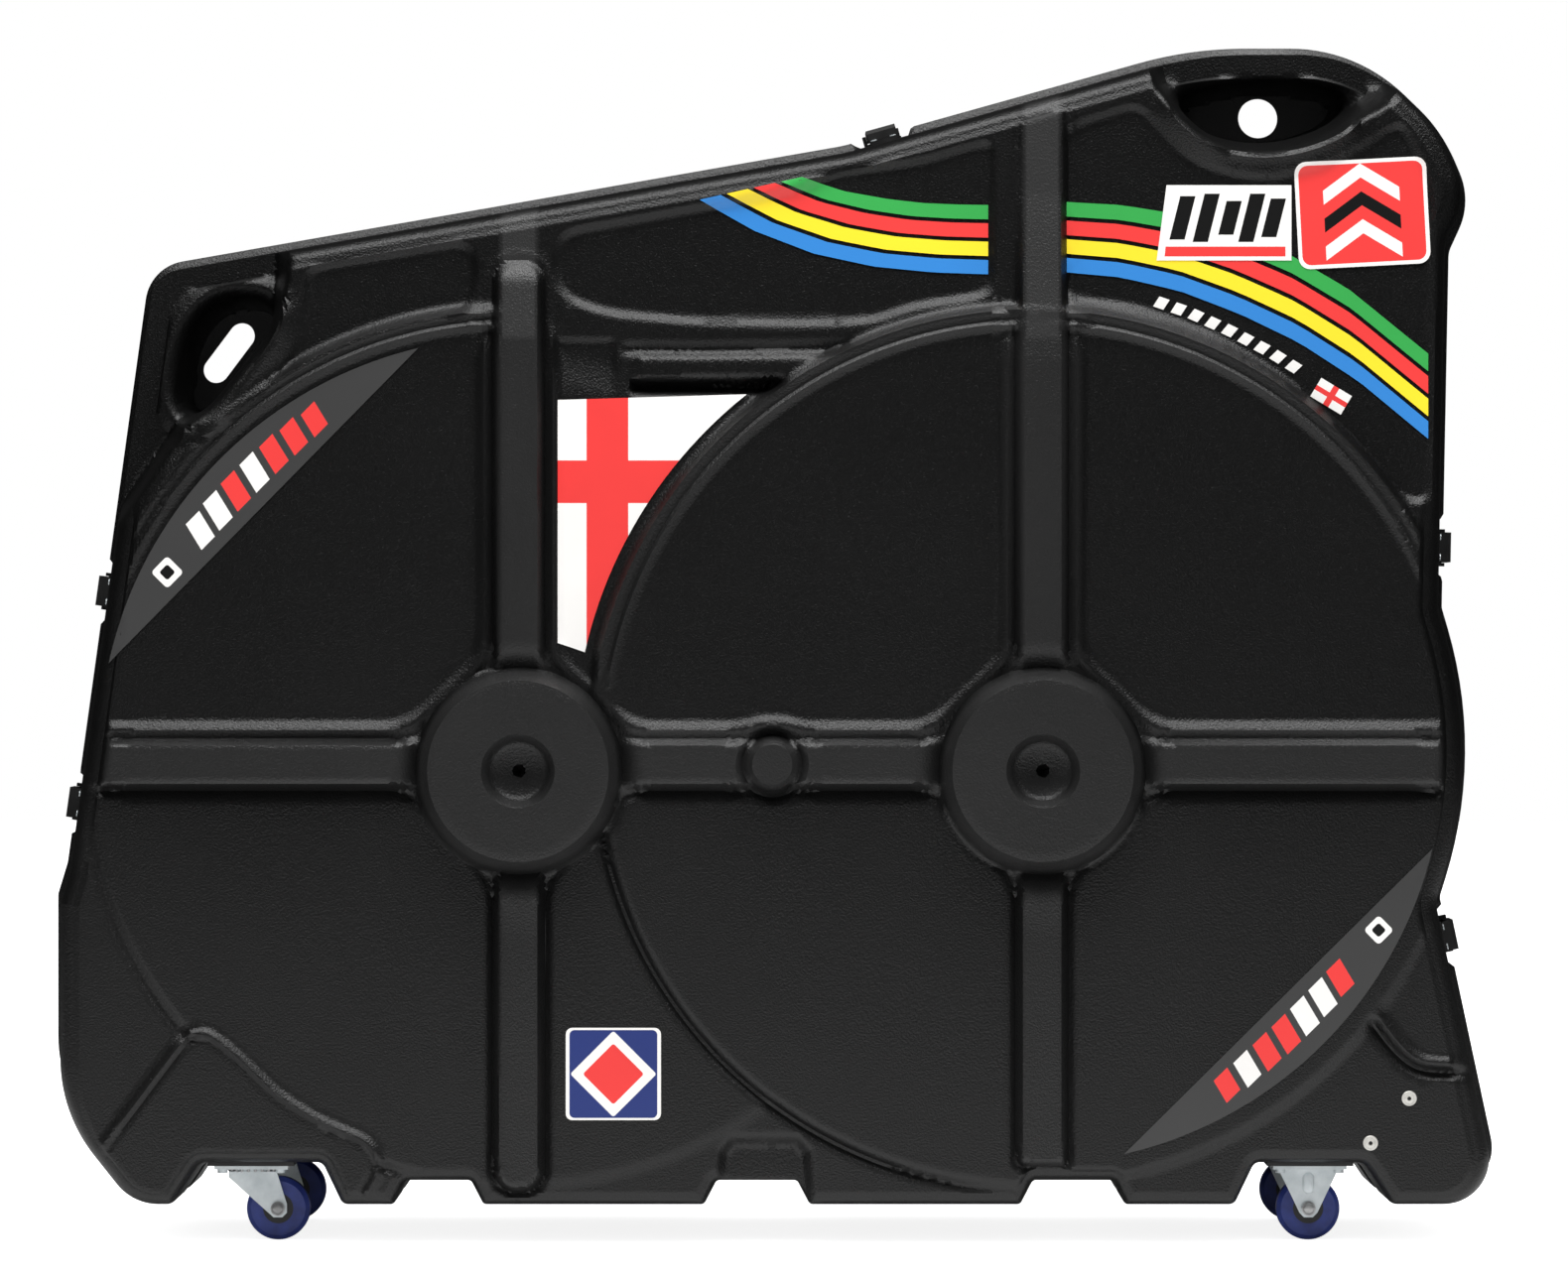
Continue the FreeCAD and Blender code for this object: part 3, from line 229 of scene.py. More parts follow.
HOLE_LEFT, HOLE_LEFT_RADIUS, HOLE_LEFT_STEPS = (-440, 706), 10.6, 44
HOLE_LEFT_REACH, HOLE_LEFT_TILT = 17, 53

# Outlines on the face, as picture points
UPPER_LEFT_PANEL = soft_spots(
    (306, 268), (474, 240), (484, 262), (474, 316), (420, 334), (340, 376), (262, 434),
    (196, 500), (152, 548), (144, 540), (205, 448), (244, 408), (292, 356), (304, 320))
TOP_PANEL = soft_spots(
    (562, 232), (806, 188), (838, 172), (925, 160), (1003, 137), (1003, 298), (917, 311),
    (881, 325), (810, 328), (703, 326), (614, 318), (566, 302), (552, 266))
RIGHT_PANEL = soft_spots(
    (1070, 126), (1150, 100), (1172, 128), (1203, 158), (1243, 172), (1282, 176), (1340, 162),
    (1388, 134), (1414, 116), (1446, 184), (1446, 508), (1413, 508), (1383, 474),
    (1335, 420), (1287, 379), (1223, 340), (1143, 312), (1070, 303))
SQUARE_PANEL = spots((560, 342), (619, 342), (619, 396), (560, 396))
NOTCH_RECESS = spots((724, 1215), (728, 1162), (738, 1150), (803, 1150), (813, 1162), (817, 1215))
BEAD_BAR = spots((642, 358), (850, 358), (826, 381), (642, 381))
BEAD_GROOVE = spots((632, 351), (700, 352), (880, 349), (960, 330))
BEAD_SLOT = spots((637, 384), (790, 384), (790, 395), (637, 395))
LEFT_FOOT_PANEL = soft_spots(
    (198, 1040), (232, 1066), (277, 1110), (321, 1137), (371, 1157), (377, 1170), (374, 1186),
    (358, 1206), (330, 1240), (80, 1240), (103, 1166))
RIGHT_FOOT_PANEL = soft_spots(
    (1384, 1025), (1400, 1050), (1427, 1077), (1520, 1080), (1520, 1260), (1120, 1260), (1120, 1130),
    (1200, 1110), (1290, 1060), (1350, 1005))
LEFT_GRIP = soft_spots(
    (293, 180), (293, 262), (288, 313), (275, 341), (227, 393), (190, 430), (116, 540), (20, 540), (20, 180))
RIGHT_GRIP = soft_spots(
    (1130, 0), (1158, 82), (1181, 113), (1209, 141), (1243, 155), (1282, 159), (1335, 146),
    (1381, 118), (1413, 97), (1500, 0))
LEFT_POCKET = soft_spots(
    (232, 299), (268, 302), (281, 312), (275, 334), (216, 414), (199, 423), (182, 417), (177, 396),
    (187, 342), (206, 312), level=GRIP_LEVEL)
RIGHT_POCKET = soft_spots(
    (1180, 106), (1204, 92), (1255, 81), (1301, 81), (1348, 91), (1360, 103), (1342, 127),
    (1300, 142), (1265, 146), (1214, 138), level=GRIP_LEVEL)


def ease(t):
    """A smooth step from 0 to 1."""
    t = np.clip(t, 0, 1)
    return t * t * (3 - 2 * t)


def inside(distance, width):
    """1 inside an edge and 0 outside it, with a smooth step of one width centred on the edge."""
    return ease(0.5 - distance / width)


def bump(distance, half_width):
    """1 on a line, falling smoothly to 0 at half a width away."""
    return ease(1 - np.abs(distance) / half_width)


def soft_min(a, b, blend):
    """The lesser of two fields, with their crossing rounded."""
    h = np.clip(0.5 + 0.5 * (b - a) / blend, 0, 1)
    return b + (a - b) * h - blend * h * (1 - h)


def soft_max(a, b, blend):
    """The greater of two fields, with their crossing rounded."""
    return -soft_min(-a, -b, blend)


def edge_distance(x, z, points, closed=True):
    """Distance to a line of points, negative inside it where it is closed."""
    nearest = np.full(x.shape, np.inf)
    within = np.zeros(x.shape, bool)
    last = len(points) if closed else len(points) - 1
    for i in range(last):
        (x_a, z_a), (x_b, z_b) = points[i], points[(i + 1) % len(points)]
        run_x, run_z = x_b - x_a, z_b - z_a
        share = np.clip(((x - x_a) * run_x + (z - z_a) * run_z) / (run_x**2 + run_z**2), 0, 1)
        nearest = np.minimum(nearest, (x - x_a - share * run_x) ** 2 + (z - z_a - share * run_z) ** 2)
        if closed:
            crosses = (z_a > z) != (z_b > z)
            rise = np.where(run_z == 0, 1, run_z)
            within ^= crosses & (x < x_a + (z - z_a) * run_x / rise)
    nearest = np.sqrt(nearest)
    return np.where(within, -nearest, nearest) if closed else nearest


def strip(a, middle, half, b, low, high, turn=0.0):
    """Distance to a bar along b and across a, with its corners rounded by a turn."""
    side, end = np.abs(a - middle) - half + turn, np.maximum(low - b, b - high) + turn
    return np.hypot(np.maximum(side, 0), np.maximum(end, 0)) + np.minimum(np.maximum(side, end), 0) - turn


# Sunk panels: outline, depth, how far the edge is drawn in, and width of its slope
SUNK_PANELS = [(UPPER_LEFT_PANEL, 5, 2, 9), (TOP_PANEL, 5, 2, 9), (RIGHT_PANEL, 5, 2, 9),
               (SQUARE_PANEL, 3, 0, 6), (NOTCH_RECESS, 12, 0, 12)]
# Crests round a disc: share of the lip's rise, place outside the flat, and half width
CRESTS = [(0.8, 1, 6), (1.0, 12, 9), (0.45, 6, 9)]
# Grooves round the lower left of the discs: depth, place outside the edge, and half width
LEFT_GROOVE, RIGHT_GROOVE = (3.5, 1, 7), (5, 3, 7)
GROOVE_RUN_X, GROOVE_RUN_Z = 150, 60
# The left disc's upper right quarter stays flat, where the right disc crosses it
QUARTER_FADE, QUARTER_RADIUS, QUARTER_SLOPE = 30, 300, 40
BEAD_GROOVE_DEPTH, BEAD_GROOVE_HALF = 3.5, 8
BEAD_RISE, BEAD_STEP = 4, 8
SLOT_DEPTH, SLOT_STEP = 11, 7
FOOT_BEAD_OUT, LEFT_BEAD_RISE, LEFT_BEAD_HALF = 5, 4.5, 6
LEFT_FOOT_RISE, LEFT_FOOT_STEP = 3, 7
RIGHT_BEAD_RISE, RIGHT_BEAD_HALF = 3.5, 7
CREASE_DEPTH, CREASE_IN, CREASE_HALF = 5, 3, 7


def disc_field(x, z, centre, level):
    """A wheel disc, as distance from its middle, radius of its edge and height: a flat inside its crests."""
    r = np.hypot(x - centre[0], z - centre[1])
    upper = ease((z - DISC_HEIGHT + LIP_BELOW) / LIP_RUN)
    crests = np.maximum.reduce([share * bump(r - DISC_RADIUS - out, half) for share, out, half in CRESTS])
    bow = DISC_BOW * (1 - ease(r / DISC_RADIUS))
    edge = DISC_RADIUS + DISC_EDGE - DISC_LESS_BELOW * (1 - upper)
    return r, edge, level - bow + LIP_RISE * upper * crests


def disc_groove(x, z, outside, middle, groove):
    """Depth of the groove beside a disc's edge, below the bar and left of a middle."""
    depth, out, half = groove
    full = depth * bump(outside - out, half)
    return full * ease((middle - x) / GROOVE_RUN_X) * ease((BAR_HEIGHT - z) / GROOVE_RUN_Z)


def discs_and_beads(x, z, h):
    """The left disc, the beads above it and at the feet, and the right disc over them."""
    r, edge, disc = disc_field(x, z, DISC_LEFT, DISC_LEFT_LEVEL)
    quarter = inside(np.maximum(HUB_LEFT_X - x, BAR_HEIGHT - z), QUARTER_FADE)
    h = h + (disc - h) * (inside(r - edge, DISC_LEFT_SLOPE) * (1 - quarter))
    h += (DISC_LEFT_LEVEL - h) * quarter * inside(r - QUARTER_RADIUS, QUARTER_SLOPE)
    h -= disc_groove(x, z, r - edge, HUB_LEFT_X, LEFT_GROOVE)
    h -= BEAD_GROOVE_DEPTH * bump(edge_distance(x, z, BEAD_GROOVE, closed=False), BEAD_GROOVE_HALF)
    h += BEAD_RISE * inside(edge_distance(x, z, BEAD_BAR), BEAD_STEP)
    h -= SLOT_DEPTH * inside(edge_distance(x, z, BEAD_SLOT), SLOT_STEP)
    foot = edge_distance(x, z, LEFT_FOOT_PANEL)
    h += LEFT_BEAD_RISE * bump(foot - FOOT_BEAD_OUT, LEFT_BEAD_HALF)
    h += (FACE + LEFT_FOOT_RISE - h) * inside(foot, LEFT_FOOT_STEP)
    foot = edge_distance(x, z, RIGHT_FOOT_PANEL)
    h += RIGHT_BEAD_RISE * bump(foot - FOOT_BEAD_OUT, RIGHT_BEAD_HALF)
    h -= CREASE_DEPTH * bump(foot + CREASE_IN, CREASE_HALF)
    r, edge, disc = disc_field(x, z, DISC_RIGHT, DISC_RIGHT_LEVEL)
    h -= disc_groove(x, z, r - edge, DISC_RIGHT[0], RIGHT_GROOVE)
    return h + (disc - h) * inside(r - edge, DISC_RIGHT_SLOPE)


# Ribs, hubs and boss share one collar with a groove inside it, lower and narrower above the discs
COLLAR_HUB_IN, COLLAR_HUB_BLEND, COLLAR_WIDTH, COLLAR_STEP = 3, 26, 17.5, 9
LESS_ABOVE, NARROWER_ABOVE, STEEPER_ABOVE = 0.45, 7, 3
COLLAR_GROOVE, COLLAR_GROOVE_OUT, COLLAR_GROOVE_HALF, DEEPER_BELOW = 3, 7, 6, 1.2
RIB_LESS_BELOW, BELOW_RUN = 3, 60
UPPER_START, UPPER_RUN = 6, 14
ABOVE_START, ABOVE_RUN = 30, 40
BOSS_GROOVE, BOSS_GROOVE_OUT, BOSS_GROOVE_HALF = 5, 5, 6


def ribs_and_hubs(x, z, h):
    """The four ribs, the bar across, the two hubs and the boss between them."""
    bar = strip(z, BAR_HEIGHT, RIB_HALF, x, BAR_LEFT, BAR_RIGHT)
    left = strip(x, HUB_LEFT_X, RIB_HALF, z, RIB_LEFT_BOTTOM, RIB_LEFT_TOP, RIB_TURN)
    right = strip(x, HUB_RIGHT_X, RIB_HALF, z, RIB_RIGHT_BOTTOM, RIB_RIGHT_TOP)
    ribs = soft_min(np.minimum(left, right), bar, RIB_BLEND)
    boss = np.hypot(x - BOSS_X, z - BAR_HEIGHT)
    hub = np.minimum(np.hypot(x - HUB_LEFT_X, z - HUB_HEIGHT), np.hypot(x - HUB_RIGHT_X, z - HUB_HEIGHT))
    collar = soft_min(ribs, hub - HUB_RADIUS + COLLAR_HUB_IN, COLLAR_HUB_BLEND)
    collar = soft_min(collar, boss - BOSS_RADIUS, RIB_BLEND)
    below = ease((HUB_HEIGHT - HUB_RADIUS - z) / BELOW_RUN)
    upper = ease((z - BAR_HEIGHT + UPPER_START) / UPPER_RUN)
    above = ease((z - DISC_HEIGHT - DISC_RADIUS + ABOVE_START) / ABOVE_RUN)
    spread = inside(collar - COLLAR_WIDTH + NARROWER_ABOVE * above, COLLAR_STEP - STEEPER_ABOVE * above)
    h = h + LIP_RISE * upper * (1 - LESS_ABOVE * above) * spread
    groove = bump(collar - COLLAR_GROOVE_OUT + above, COLLAR_GROOVE_HALF)
    h -= (COLLAR_GROOVE + DEEPER_BELOW * below) * groove
    lean = LEAN_SLOPE * np.maximum(z - np.where(x < BOSS_X, LEAN_LEFT, LEAN_RIGHT), 0)
    lean += np.where(x < BOSS_X, CAP_DROP * np.clip((z - CAP_START) / CAP_RUN, 0, 1) ** 2, 0)
    rise = RIB_LEVEL - lean - RIB_LESS_BELOW * below - h
    h += np.maximum(rise, np.where(above > 0, 0, rise)) * inside(ribs - RIB_FLARE, RIB_STEP)
    h -= BOSS_GROOVE * bump(boss - BOSS_RADIUS - BOSS_GROOVE_OUT, BOSS_GROOVE_HALF)
    h = soft_max(h, BOSS_LEVEL - BOSS_SLOPE * np.maximum(boss - BOSS_RADIUS + BOSS_IN, 0), BOSS_BLEND)
    flank = HUB_LEVEL - HUB_SLOPE * np.maximum(hub - HUB_RADIUS + HUB_IN, 0)
    moat = MOAT_LEVEL + MOAT_SLOPE * np.maximum(hub - HUB_RADIUS - MOAT_WIDTH, 0)
    crown = HUB_LEVEL - CROWN_SLOPE * np.maximum(hub - HUB_RADIUS + CROWN_WIDTH, 0)
    h = np.where(hub < MOAT_END, soft_min(h, moat, MOAT_BLEND), h)
    h = np.where(hub < HUB_RADIUS + HUB_FOOT, soft_max(h, flank, HUB_BLEND), h)
    h = np.where(hub < HUB_RADIUS, soft_min(h, crown, CROWN_BLEND), h)
    bowl = 1 - DISH_BOWL_SHARE * (np.minimum(hub, DISH_RADIUS) / DISH_RADIUS) ** 2
    dish = DISH_DEPTH * inside(hub - DISH_RADIUS + DISH_IN, DISH_STEP) * bowl
    return h - (dish + DIMPLE_DEPTH * inside(hub - DIMPLE_RADIUS, DIMPLE_STEP))


# Hand grips: outline and width of the slope, with a crease along its top
GRIPS = [(LEFT_GRIP, 16), (RIGHT_GRIP, 18)]
GRIP_CREASE, GRIP_CREASE_OUT, GRIP_CREASE_HALF, GRIP_CREASE_STEP = 2.5, 2, 9, 4
POCKET_WALL, POCKET_ROLL, POCKET_ROLL_SHARE = 6.0, 12.0, 0.8
ROLL_RISE, ROLL_MIDDLE, ROLL_HALF = 6.0, 10.0, 14.0


def face_field(x, z):
    """Height of the face over every feature but the pockets."""
    h = np.full(x.shape, float(FACE))
    for panel, depth, draw, slope in SUNK_PANELS:
        h -= depth * inside(edge_distance(x, z, panel) + draw, slope)
    h = ribs_and_hubs(x, z, discs_and_beads(x, z, h))
    for grip, slope in GRIPS:
        outside = edge_distance(x, z, grip)
        h = h + (np.minimum(h, GRIP_LEVEL) - h) * inside(outside + slope / 2, slope)
        crease = bump(outside - GRIP_CREASE_OUT, GRIP_CREASE_HALF) * inside(outside, GRIP_CREASE_STEP)
        h = h - GRIP_CREASE * crease
    return h


def shell_field(x, z):
    """Height of the face with the two pockets, whose edges are rolled over."""
    h = face_field(x, z)
    for pocket in (LEFT_POCKET, RIGHT_POCKET):
        off = edge_distance(x, z, pocket)
        short = np.clip(POCKET_ROLL - off, 0, POCKET_ROLL)
        rolled = h + ROLL_RISE * bump(off - ROLL_MIDDLE, ROLL_HALF)
        rolled -= POCKET_ROLL_SHARE * (POCKET_ROLL - np.sqrt(POCKET_ROLL**2 - short**2))
        h = POCKET_FLOOR + (rolled - POCKET_FLOOR) * ease((off + POCKET_WALL) / POCKET_WALL)
    return h


# Side of the shell: levels out from the seam, and how far the outline is drawn in there
SEAM, RIM_WIDTH, RIM_DEPTH = 1.5, 6, 8
RIM_TURN, RIM_EASE_SHARE = 1.5, 0.3
SIDE_DRAFT, SHOULDER_LEVEL, SHOULDER_STEPS = 8, 136, 7
SHOULDER_INSET, SHOULDER_DRAFT = 8, 6
SIDE_LEVELS = (46, 62, 78, 86, 92, 98, 106, 121, SHOULDER_LEVEL)
SIDE_BLEND = 6
KEEL_LEVEL, KEEL_HEIGHT = 32, 52
CATCH_GAP, CATCH_FADE = 23, 4
CATCHES = ("top", "right_upper", "right_lower", "left_lower", "left_upper")


def box_middle(low, high):
    """Middle of a box, along and up, in millimetres."""
    return 0.5 / MM * (low.x + high.x), 0.5 / MM * (low.z + high.z)


def side_rings():
    """Rings of the side from the seam to the face: points, level, and whether the keel cuts them."""
    plain, bead = outline_ring(0, RIM_WIDTH), outline_ring(0, 0)
    gap = np.zeros(len(bead))
    for name in CATCHES:
        x, z = box_middle(*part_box("catch_%s_keeper" % name))
        gap = np.maximum(gap, inside(np.hypot(bead[:, 0] - x, bead[:, 1] - z) - CATCH_GAP, CATCH_FADE))
    bead = bead + (plain - bead) * gap[:, None]
    eased = bead * (1 - RIM_EASE_SHARE) + plain * RIM_EASE_SHARE
    rings = [(bead, SEAM, True), (bead, RIM_DEPTH - RIM_TURN, True), (eased, RIM_DEPTH, True)]
    rings.append((plain, RIM_DEPTH + RIM_TURN, True))
    run = SHOULDER_LEVEL - SEAM
    for level, keel in [(KEEL_LEVEL, True), (KEEL_LEVEL, False)] + [(level, False) for level in SIDE_LEVELS]:
        rings.append((outline_ring(0, RIM_WIDTH + SIDE_DRAFT * (level - SEAM) / run), level, keel))
    for step in range(1, SHOULDER_STEPS + 1):
        turn = math.radians(90) * step / SHOULDER_STEPS
        draw = 1 - math.cos(turn)
        ring = outline_ring(SHOULDER_INSET * draw, RIM_WIDTH + SIDE_DRAFT + SHOULDER_DRAFT * draw)
        rings.append((ring, SHOULDER_LEVEL + (FACE - SHOULDER_LEVEL) * math.sin(turn), False))
    return rings


def circle(middle, radius, count, shift=0.0):
    """Points of a circle, turned by a share of a step."""
    turns = (np.arange(count) + shift) * 2 * math.pi / count
    return np.stack([middle[0] + radius * np.cos(turns), middle[1] + radius * np.sin(turns)], 1)


def obround(middle, radius, reach, tilt, count):
    """Points of a slot with round ends."""
    turns = np.arange(count) * 2 * math.pi / count
    length = np.where(np.cos(turns) >= 0, reach, -reach) + radius * np.cos(turns)
    width = radius * np.sin(turns)
    cos, sin = math.cos(math.radians(tilt)), math.sin(math.radians(tilt))
    return np.stack([middle[0] + length * cos - width * sin, middle[1] + length * sin + width * cos], 1)


# Net of the face: rings of points along the soft edges, and a lattice that is finer where the face bends
HOLES = [circle(HOLE_RIGHT, HOLE_RIGHT_RADIUS, HOLE_RIGHT_STEPS),
         obround(HOLE_LEFT, HOLE_LEFT_RADIUS, HOLE_LEFT_REACH, HOLE_LEFT_TILT, HOLE_LEFT_STEPS)]
POCKET_OFFSETS = (-8, -6.2, -5.2, -4.2, -3.2, -2.2, -1.2, -0.3,
                  0.6, 1.6, 2.8, 4.4, 6.4, 9, 12, 15.5, 19.5, 24)
GRIP_OFFSETS = (-24, -20, -16.5, -13.5, -10.5, -7.5, -4.5, -1.5, 1.5, 4.5, 8)
FOOT_OFFSETS = (-8, -5.5, -3.5, -1.5, 0.5, 2.5, 4.5, 6.5, 8.5, 11, 15)
GUIDES = [(LEFT_POCKET, POCKET_OFFSETS), (RIGHT_POCKET, POCKET_OFFSETS), (LEFT_GRIP, GRIP_OFFSETS),
          (RIGHT_GRIP, GRIP_OFFSETS), (LEFT_FOOT_PANEL, FOOT_OFFSETS), (RIGHT_FOOT_PANEL, FOOT_OFFSETS)]
GUIDE_STEP, GUIDE_ROUNDS, GUIDE_CLEAR, GUIDE_SLACK = 3.5, 2, 1.5, 0.6
BORDER_INSETS = (2, 4, 6, 8, 10.5, 13, 16, 19)
HOLE_CLEAR = 1.5
FINE, SPREAD = 3.0, 4
FINE_BEND, MIDDLE_BEND = 0.28, 0.06
EDGE_SLOPE, EDGE_BLEND = 2.4, 5
RING_GAP, RING_CLEAR, RING_LEAST = 2.6, 2.0, 6
RING_STEP = 1.6 * RING_GAP
RIB_BESIDE = RIB_HALF + 26
HUB_BAND, DISH_BAND, DIMPLE_BAND = (58, 100), (16, 34), (0, 6)
BOSS_BAND, DISC_BAND = (8, 40), (DISC_RADIUS - 9, DISC_RADIUS + 32)
HUBS = [(HUB_LEFT_X, HUB_HEIGHT), (HUB_RIGHT_X, HUB_HEIGHT)]
ROUND_BANDS = [(hub, rings) for rings in (HUB_BAND, DISH_BAND, DIMPLE_BAND) for hub in HUBS]
ROUND_BANDS += [(BOSS, BOSS_BAND), (DISC_RIGHT, DISC_BAND), (DISC_LEFT, DISC_BAND)]
NET_WHOLE, NET_INSIDE, NET_GAP = 0, 1, 1e-4


def polygon_ring(points, offset, step):
    """Points along a polygon, each moved outward by an offset."""
    line = softened(points, step, GUIDE_ROUNDS)
    tangent = np.roll(line, -1, 0) - np.roll(line, 1, 0)
    tangent /= np.linalg.norm(tangent, axis=1)[:, None]
    clockwise = np.sum(line[:, 0] * np.roll(line[:, 1], -1) - np.roll(line[:, 0], -1) * line[:, 1]) < 0
    outward = np.stack([-tangent[:, 1], tangent[:, 0]], 1) * (1 if clockwise else -1)
    return line + outward * offset


def guide_rings(polygon, offsets):
    """Rings of points at several offsets from a polygon, without those that cross in its corners."""
    rings = []
    for offset in offsets:
        ring = polygon_ring(polygon, offset, GUIDE_STEP)
        off = edge_distance(ring[:, 0], ring[:, 1], polygon)
        rings.append(ring[np.abs(off - offset) < GUIDE_SLACK])
    return np.concatenate(rings)


def off_guides(points, guides):
    """Whether each point is clear of the rings along some polygons."""
    clear = np.ones(len(points), bool)
    for polygon, offsets in guides:
        off = edge_distance(points[:, 0], points[:, 1], polygon)
        clear &= (off < min(offsets) - GUIDE_CLEAR) | (off > max(offsets) + GUIDE_CLEAR)
    return clear


def near_ribs(x, z):
    """Whether a place is on or beside a rib."""
    beside = np.minimum(np.abs(x - HUB_LEFT_X), np.abs(x - HUB_RIGHT_X))
    return np.minimum(beside, np.abs(z - BAR_HEIGHT)) < RIB_BESIDE


def in_bands(x, z, bands):
    """Whether a place lies in one of the bands of rings."""
    covered = np.zeros(x.shape, bool)
    for centre, (low, high) in bands:
        r = np.hypot(x - centre[0], z - centre[1])
        within = (r > low - RING_CLEAR) & (r < high + RING_CLEAR)
        covered |= within & ~near_ribs(x, z) if low > HUB_BAND[1] else within
    return covered


def ring_points():
    """Points along the round edges, each band of rings clear of those before it."""
    bands = []
    for number, (centre, (low, high)) in enumerate(ROUND_BANDS):
        found = []
        for step in range(math.ceil((high - low) / RING_GAP) + 1):
            radius = min(low + step * RING_GAP, high)
            count = max(RING_LEAST, round(2 * math.pi * radius / RING_STEP))
            found.append(circle(centre, radius, count, 0.5 * (step % 2)))
        found = np.concatenate(found)
        kept = ~in_bands(found[:, 0], found[:, 1], ROUND_BANDS[:number])
        if low > HUB_BAND[1]:
            kept &= ~near_ribs(found[:, 0], found[:, 1])
        bands.append(found[kept])
    return np.concatenate(bands)


def lattice_points(border):
    """Points over the face: close together where it bends, far apart where it is flat."""
    x_line = np.arange(border[:, 0].min(), border[:, 0].max(), FINE)
    z_line = np.arange(border[:, 1].min(), border[:, 1].max(), FINE)
    x, z = np.meshgrid(x_line, z_line, indexing="ij")
    h = shell_field(x, z)
    bend = np.zeros(h.shape)
    bend[1:-1, 1:-1] = np.abs(h[2:, 1:-1] + h[:-2, 1:-1] - 2 * h[1:-1, 1:-1])
    bend[1:-1, 1:-1] += np.abs(h[1:-1, 2:] + h[1:-1, :-2] - 2 * h[1:-1, 1:-1])
    wide = bend.copy()
    for shift in ((SPREAD, 0), (-SPREAD, 0), (0, SPREAD), (0, -SPREAD)):
        wide = np.maximum(wide, np.roll(bend, shift, (0, 1)))
    i, j = np.indices(h.shape)
    keep = bend > FINE_BEND
    keep |= (wide > MIDDLE_BEND) & (i % 2 == 0) & (j % 2 == 0)
    keep |= (i % SPREAD == 0) & (j % SPREAD == 0)
    keep &= ~in_bands(x, z, ROUND_BANDS)
    points = np.concatenate([np.stack([x[keep], z[keep]], 1), ring_points()])
    groups = [points[off_guides(points, GUIDES)]]
    for number, (polygon, offsets) in enumerate(GUIDES):
        found = guide_rings(polygon, offsets)
        groups.append(found[off_guides(found, GUIDES[:number])])
    points = np.concatenate(groups)
    deep = edge_distance(points[:, 0], points[:, 1], border) < -max(BORDER_INSETS) - GUIDE_CLEAR
    rims = guide_rings(border, [-inset for inset in BORDER_INSETS])
    points = np.concatenate([points[deep], rims])
    for hole in HOLES:
        points = points[edge_distance(points[:, 0], points[:, 1], hole) > HOLE_CLEAR]
    return points


RINGS = side_rings()
BORDER = RINGS[-1][0]


def surface(x, z):
    """Height of the finished face, rounded over at its edge."""
    rise = -edge_distance(x, z, BORDER)
    return soft_min(shell_field(x, z), FACE + EDGE_SLOPE * np.maximum(rise, 0), EDGE_BLEND)


def loop_edges(lines):
    """Edges round several closed lines, whose points are numbered one line after another."""
    edges, start = [], 0
    for line in lines:
        count = len(line)
        edges += [(start + j, start + (j + 1) % count) for j in range(count)]
        start += count
    return edges


def flat_net(points, edges, mode):
    """Triangles between points of a plane: places, triangles, their middles, and each place's origins."""
    flat = [Vector(point) for point in points]
    places, _, triangles, origins, _, _ = delaunay_2d_cdt(flat, edges, [], mode, NET_GAP)
    places = np.array([tuple(place) for place in places])
    middles = np.array([places[list(triangle)].mean(0) for triangle in triangles])
    return places, triangles, middles, origins


def compact(vertices, faces, loops):
    """Leave out the points that no face uses."""
    used = sorted({v for face in faces for v in face})
    place = {old: new for new, old in enumerate(used)}
    faces = [[place[v] for v in face] for face in faces]
    return vertices[used], faces, [[place[v] for v in loop] for loop in loops]


def half_shell_mesh():
    """Points and faces of the lid half's outer skin, in millimetres, and its open edges."""
    count = len(BORDER)
    vertices, faces = [], []
    for ring, level, keel in RINGS:
        x, z = ring[:, 0], np.maximum(ring[:, 1], KEEL_HEIGHT) if keel else ring[:, 1]
        h = np.full(count, float(level))
        if level > KEEL_LEVEL:
            h = soft_min(h, face_field(x, z), SIDE_BLEND)
        vertices.append(np.stack([x, -h, z], 1))
    for start in range(0, (len(RINGS) - 1) * count, count):
        for j in range(count):
            here, ahead = start + j, start + (j + 1) % count
            faces.append([here, here + count, ahead + count, ahead])
    points = np.concatenate([BORDER, *HOLES, lattice_points(BORDER)])
    net, triangles, middles, origins = flat_net(points, loop_edges([BORDER, *HOLES]), NET_INSIDE)
    vertices.append(np.stack([net[:, 0], -surface(net[:, 0], net[:, 1]), net[:, 1]], 1))
    # The border of the net takes the points of the last ring
    found = {origin: place for place, sources in enumerate(origins) for origin in sources}
    index = np.arange(len(net)) + len(RINGS) * count
    for j in range(count):
        index[found[j]] = (len(RINGS) - 1) * count + j
    kept = np.ones(len(triangles), bool)
    for hole in HOLES:
        kept &= edge_distance(middles[:, 0], middles[:, 1], hole) > 0
    faces += [[int(index[v]) for v in triangle] for triangle, keep in zip(triangles, kept) if keep]
    loops, start = [list(range(count))], count
    for hole in HOLES:
        loops.append([int(index[found[start + j]]) for j in range(len(hole))])
        start += len(hole)
    return compact(np.concatenate(vertices), faces, loops)


def make_mesh(name, vertices, faces):
    """A mesh object from points in millimetres."""
    mesh = bpy.data.meshes.new(name)
    mesh.from_pydata([tuple(v) for v in np.asarray(vertices, float) * MM], [], faces)
    mesh.validate()
    mesh.update()
    thing = bpy.data.objects.new(name, mesh)
    scene.collection.objects.link(thing)
    return thing


SHARP_ANGLE = math.radians(40)


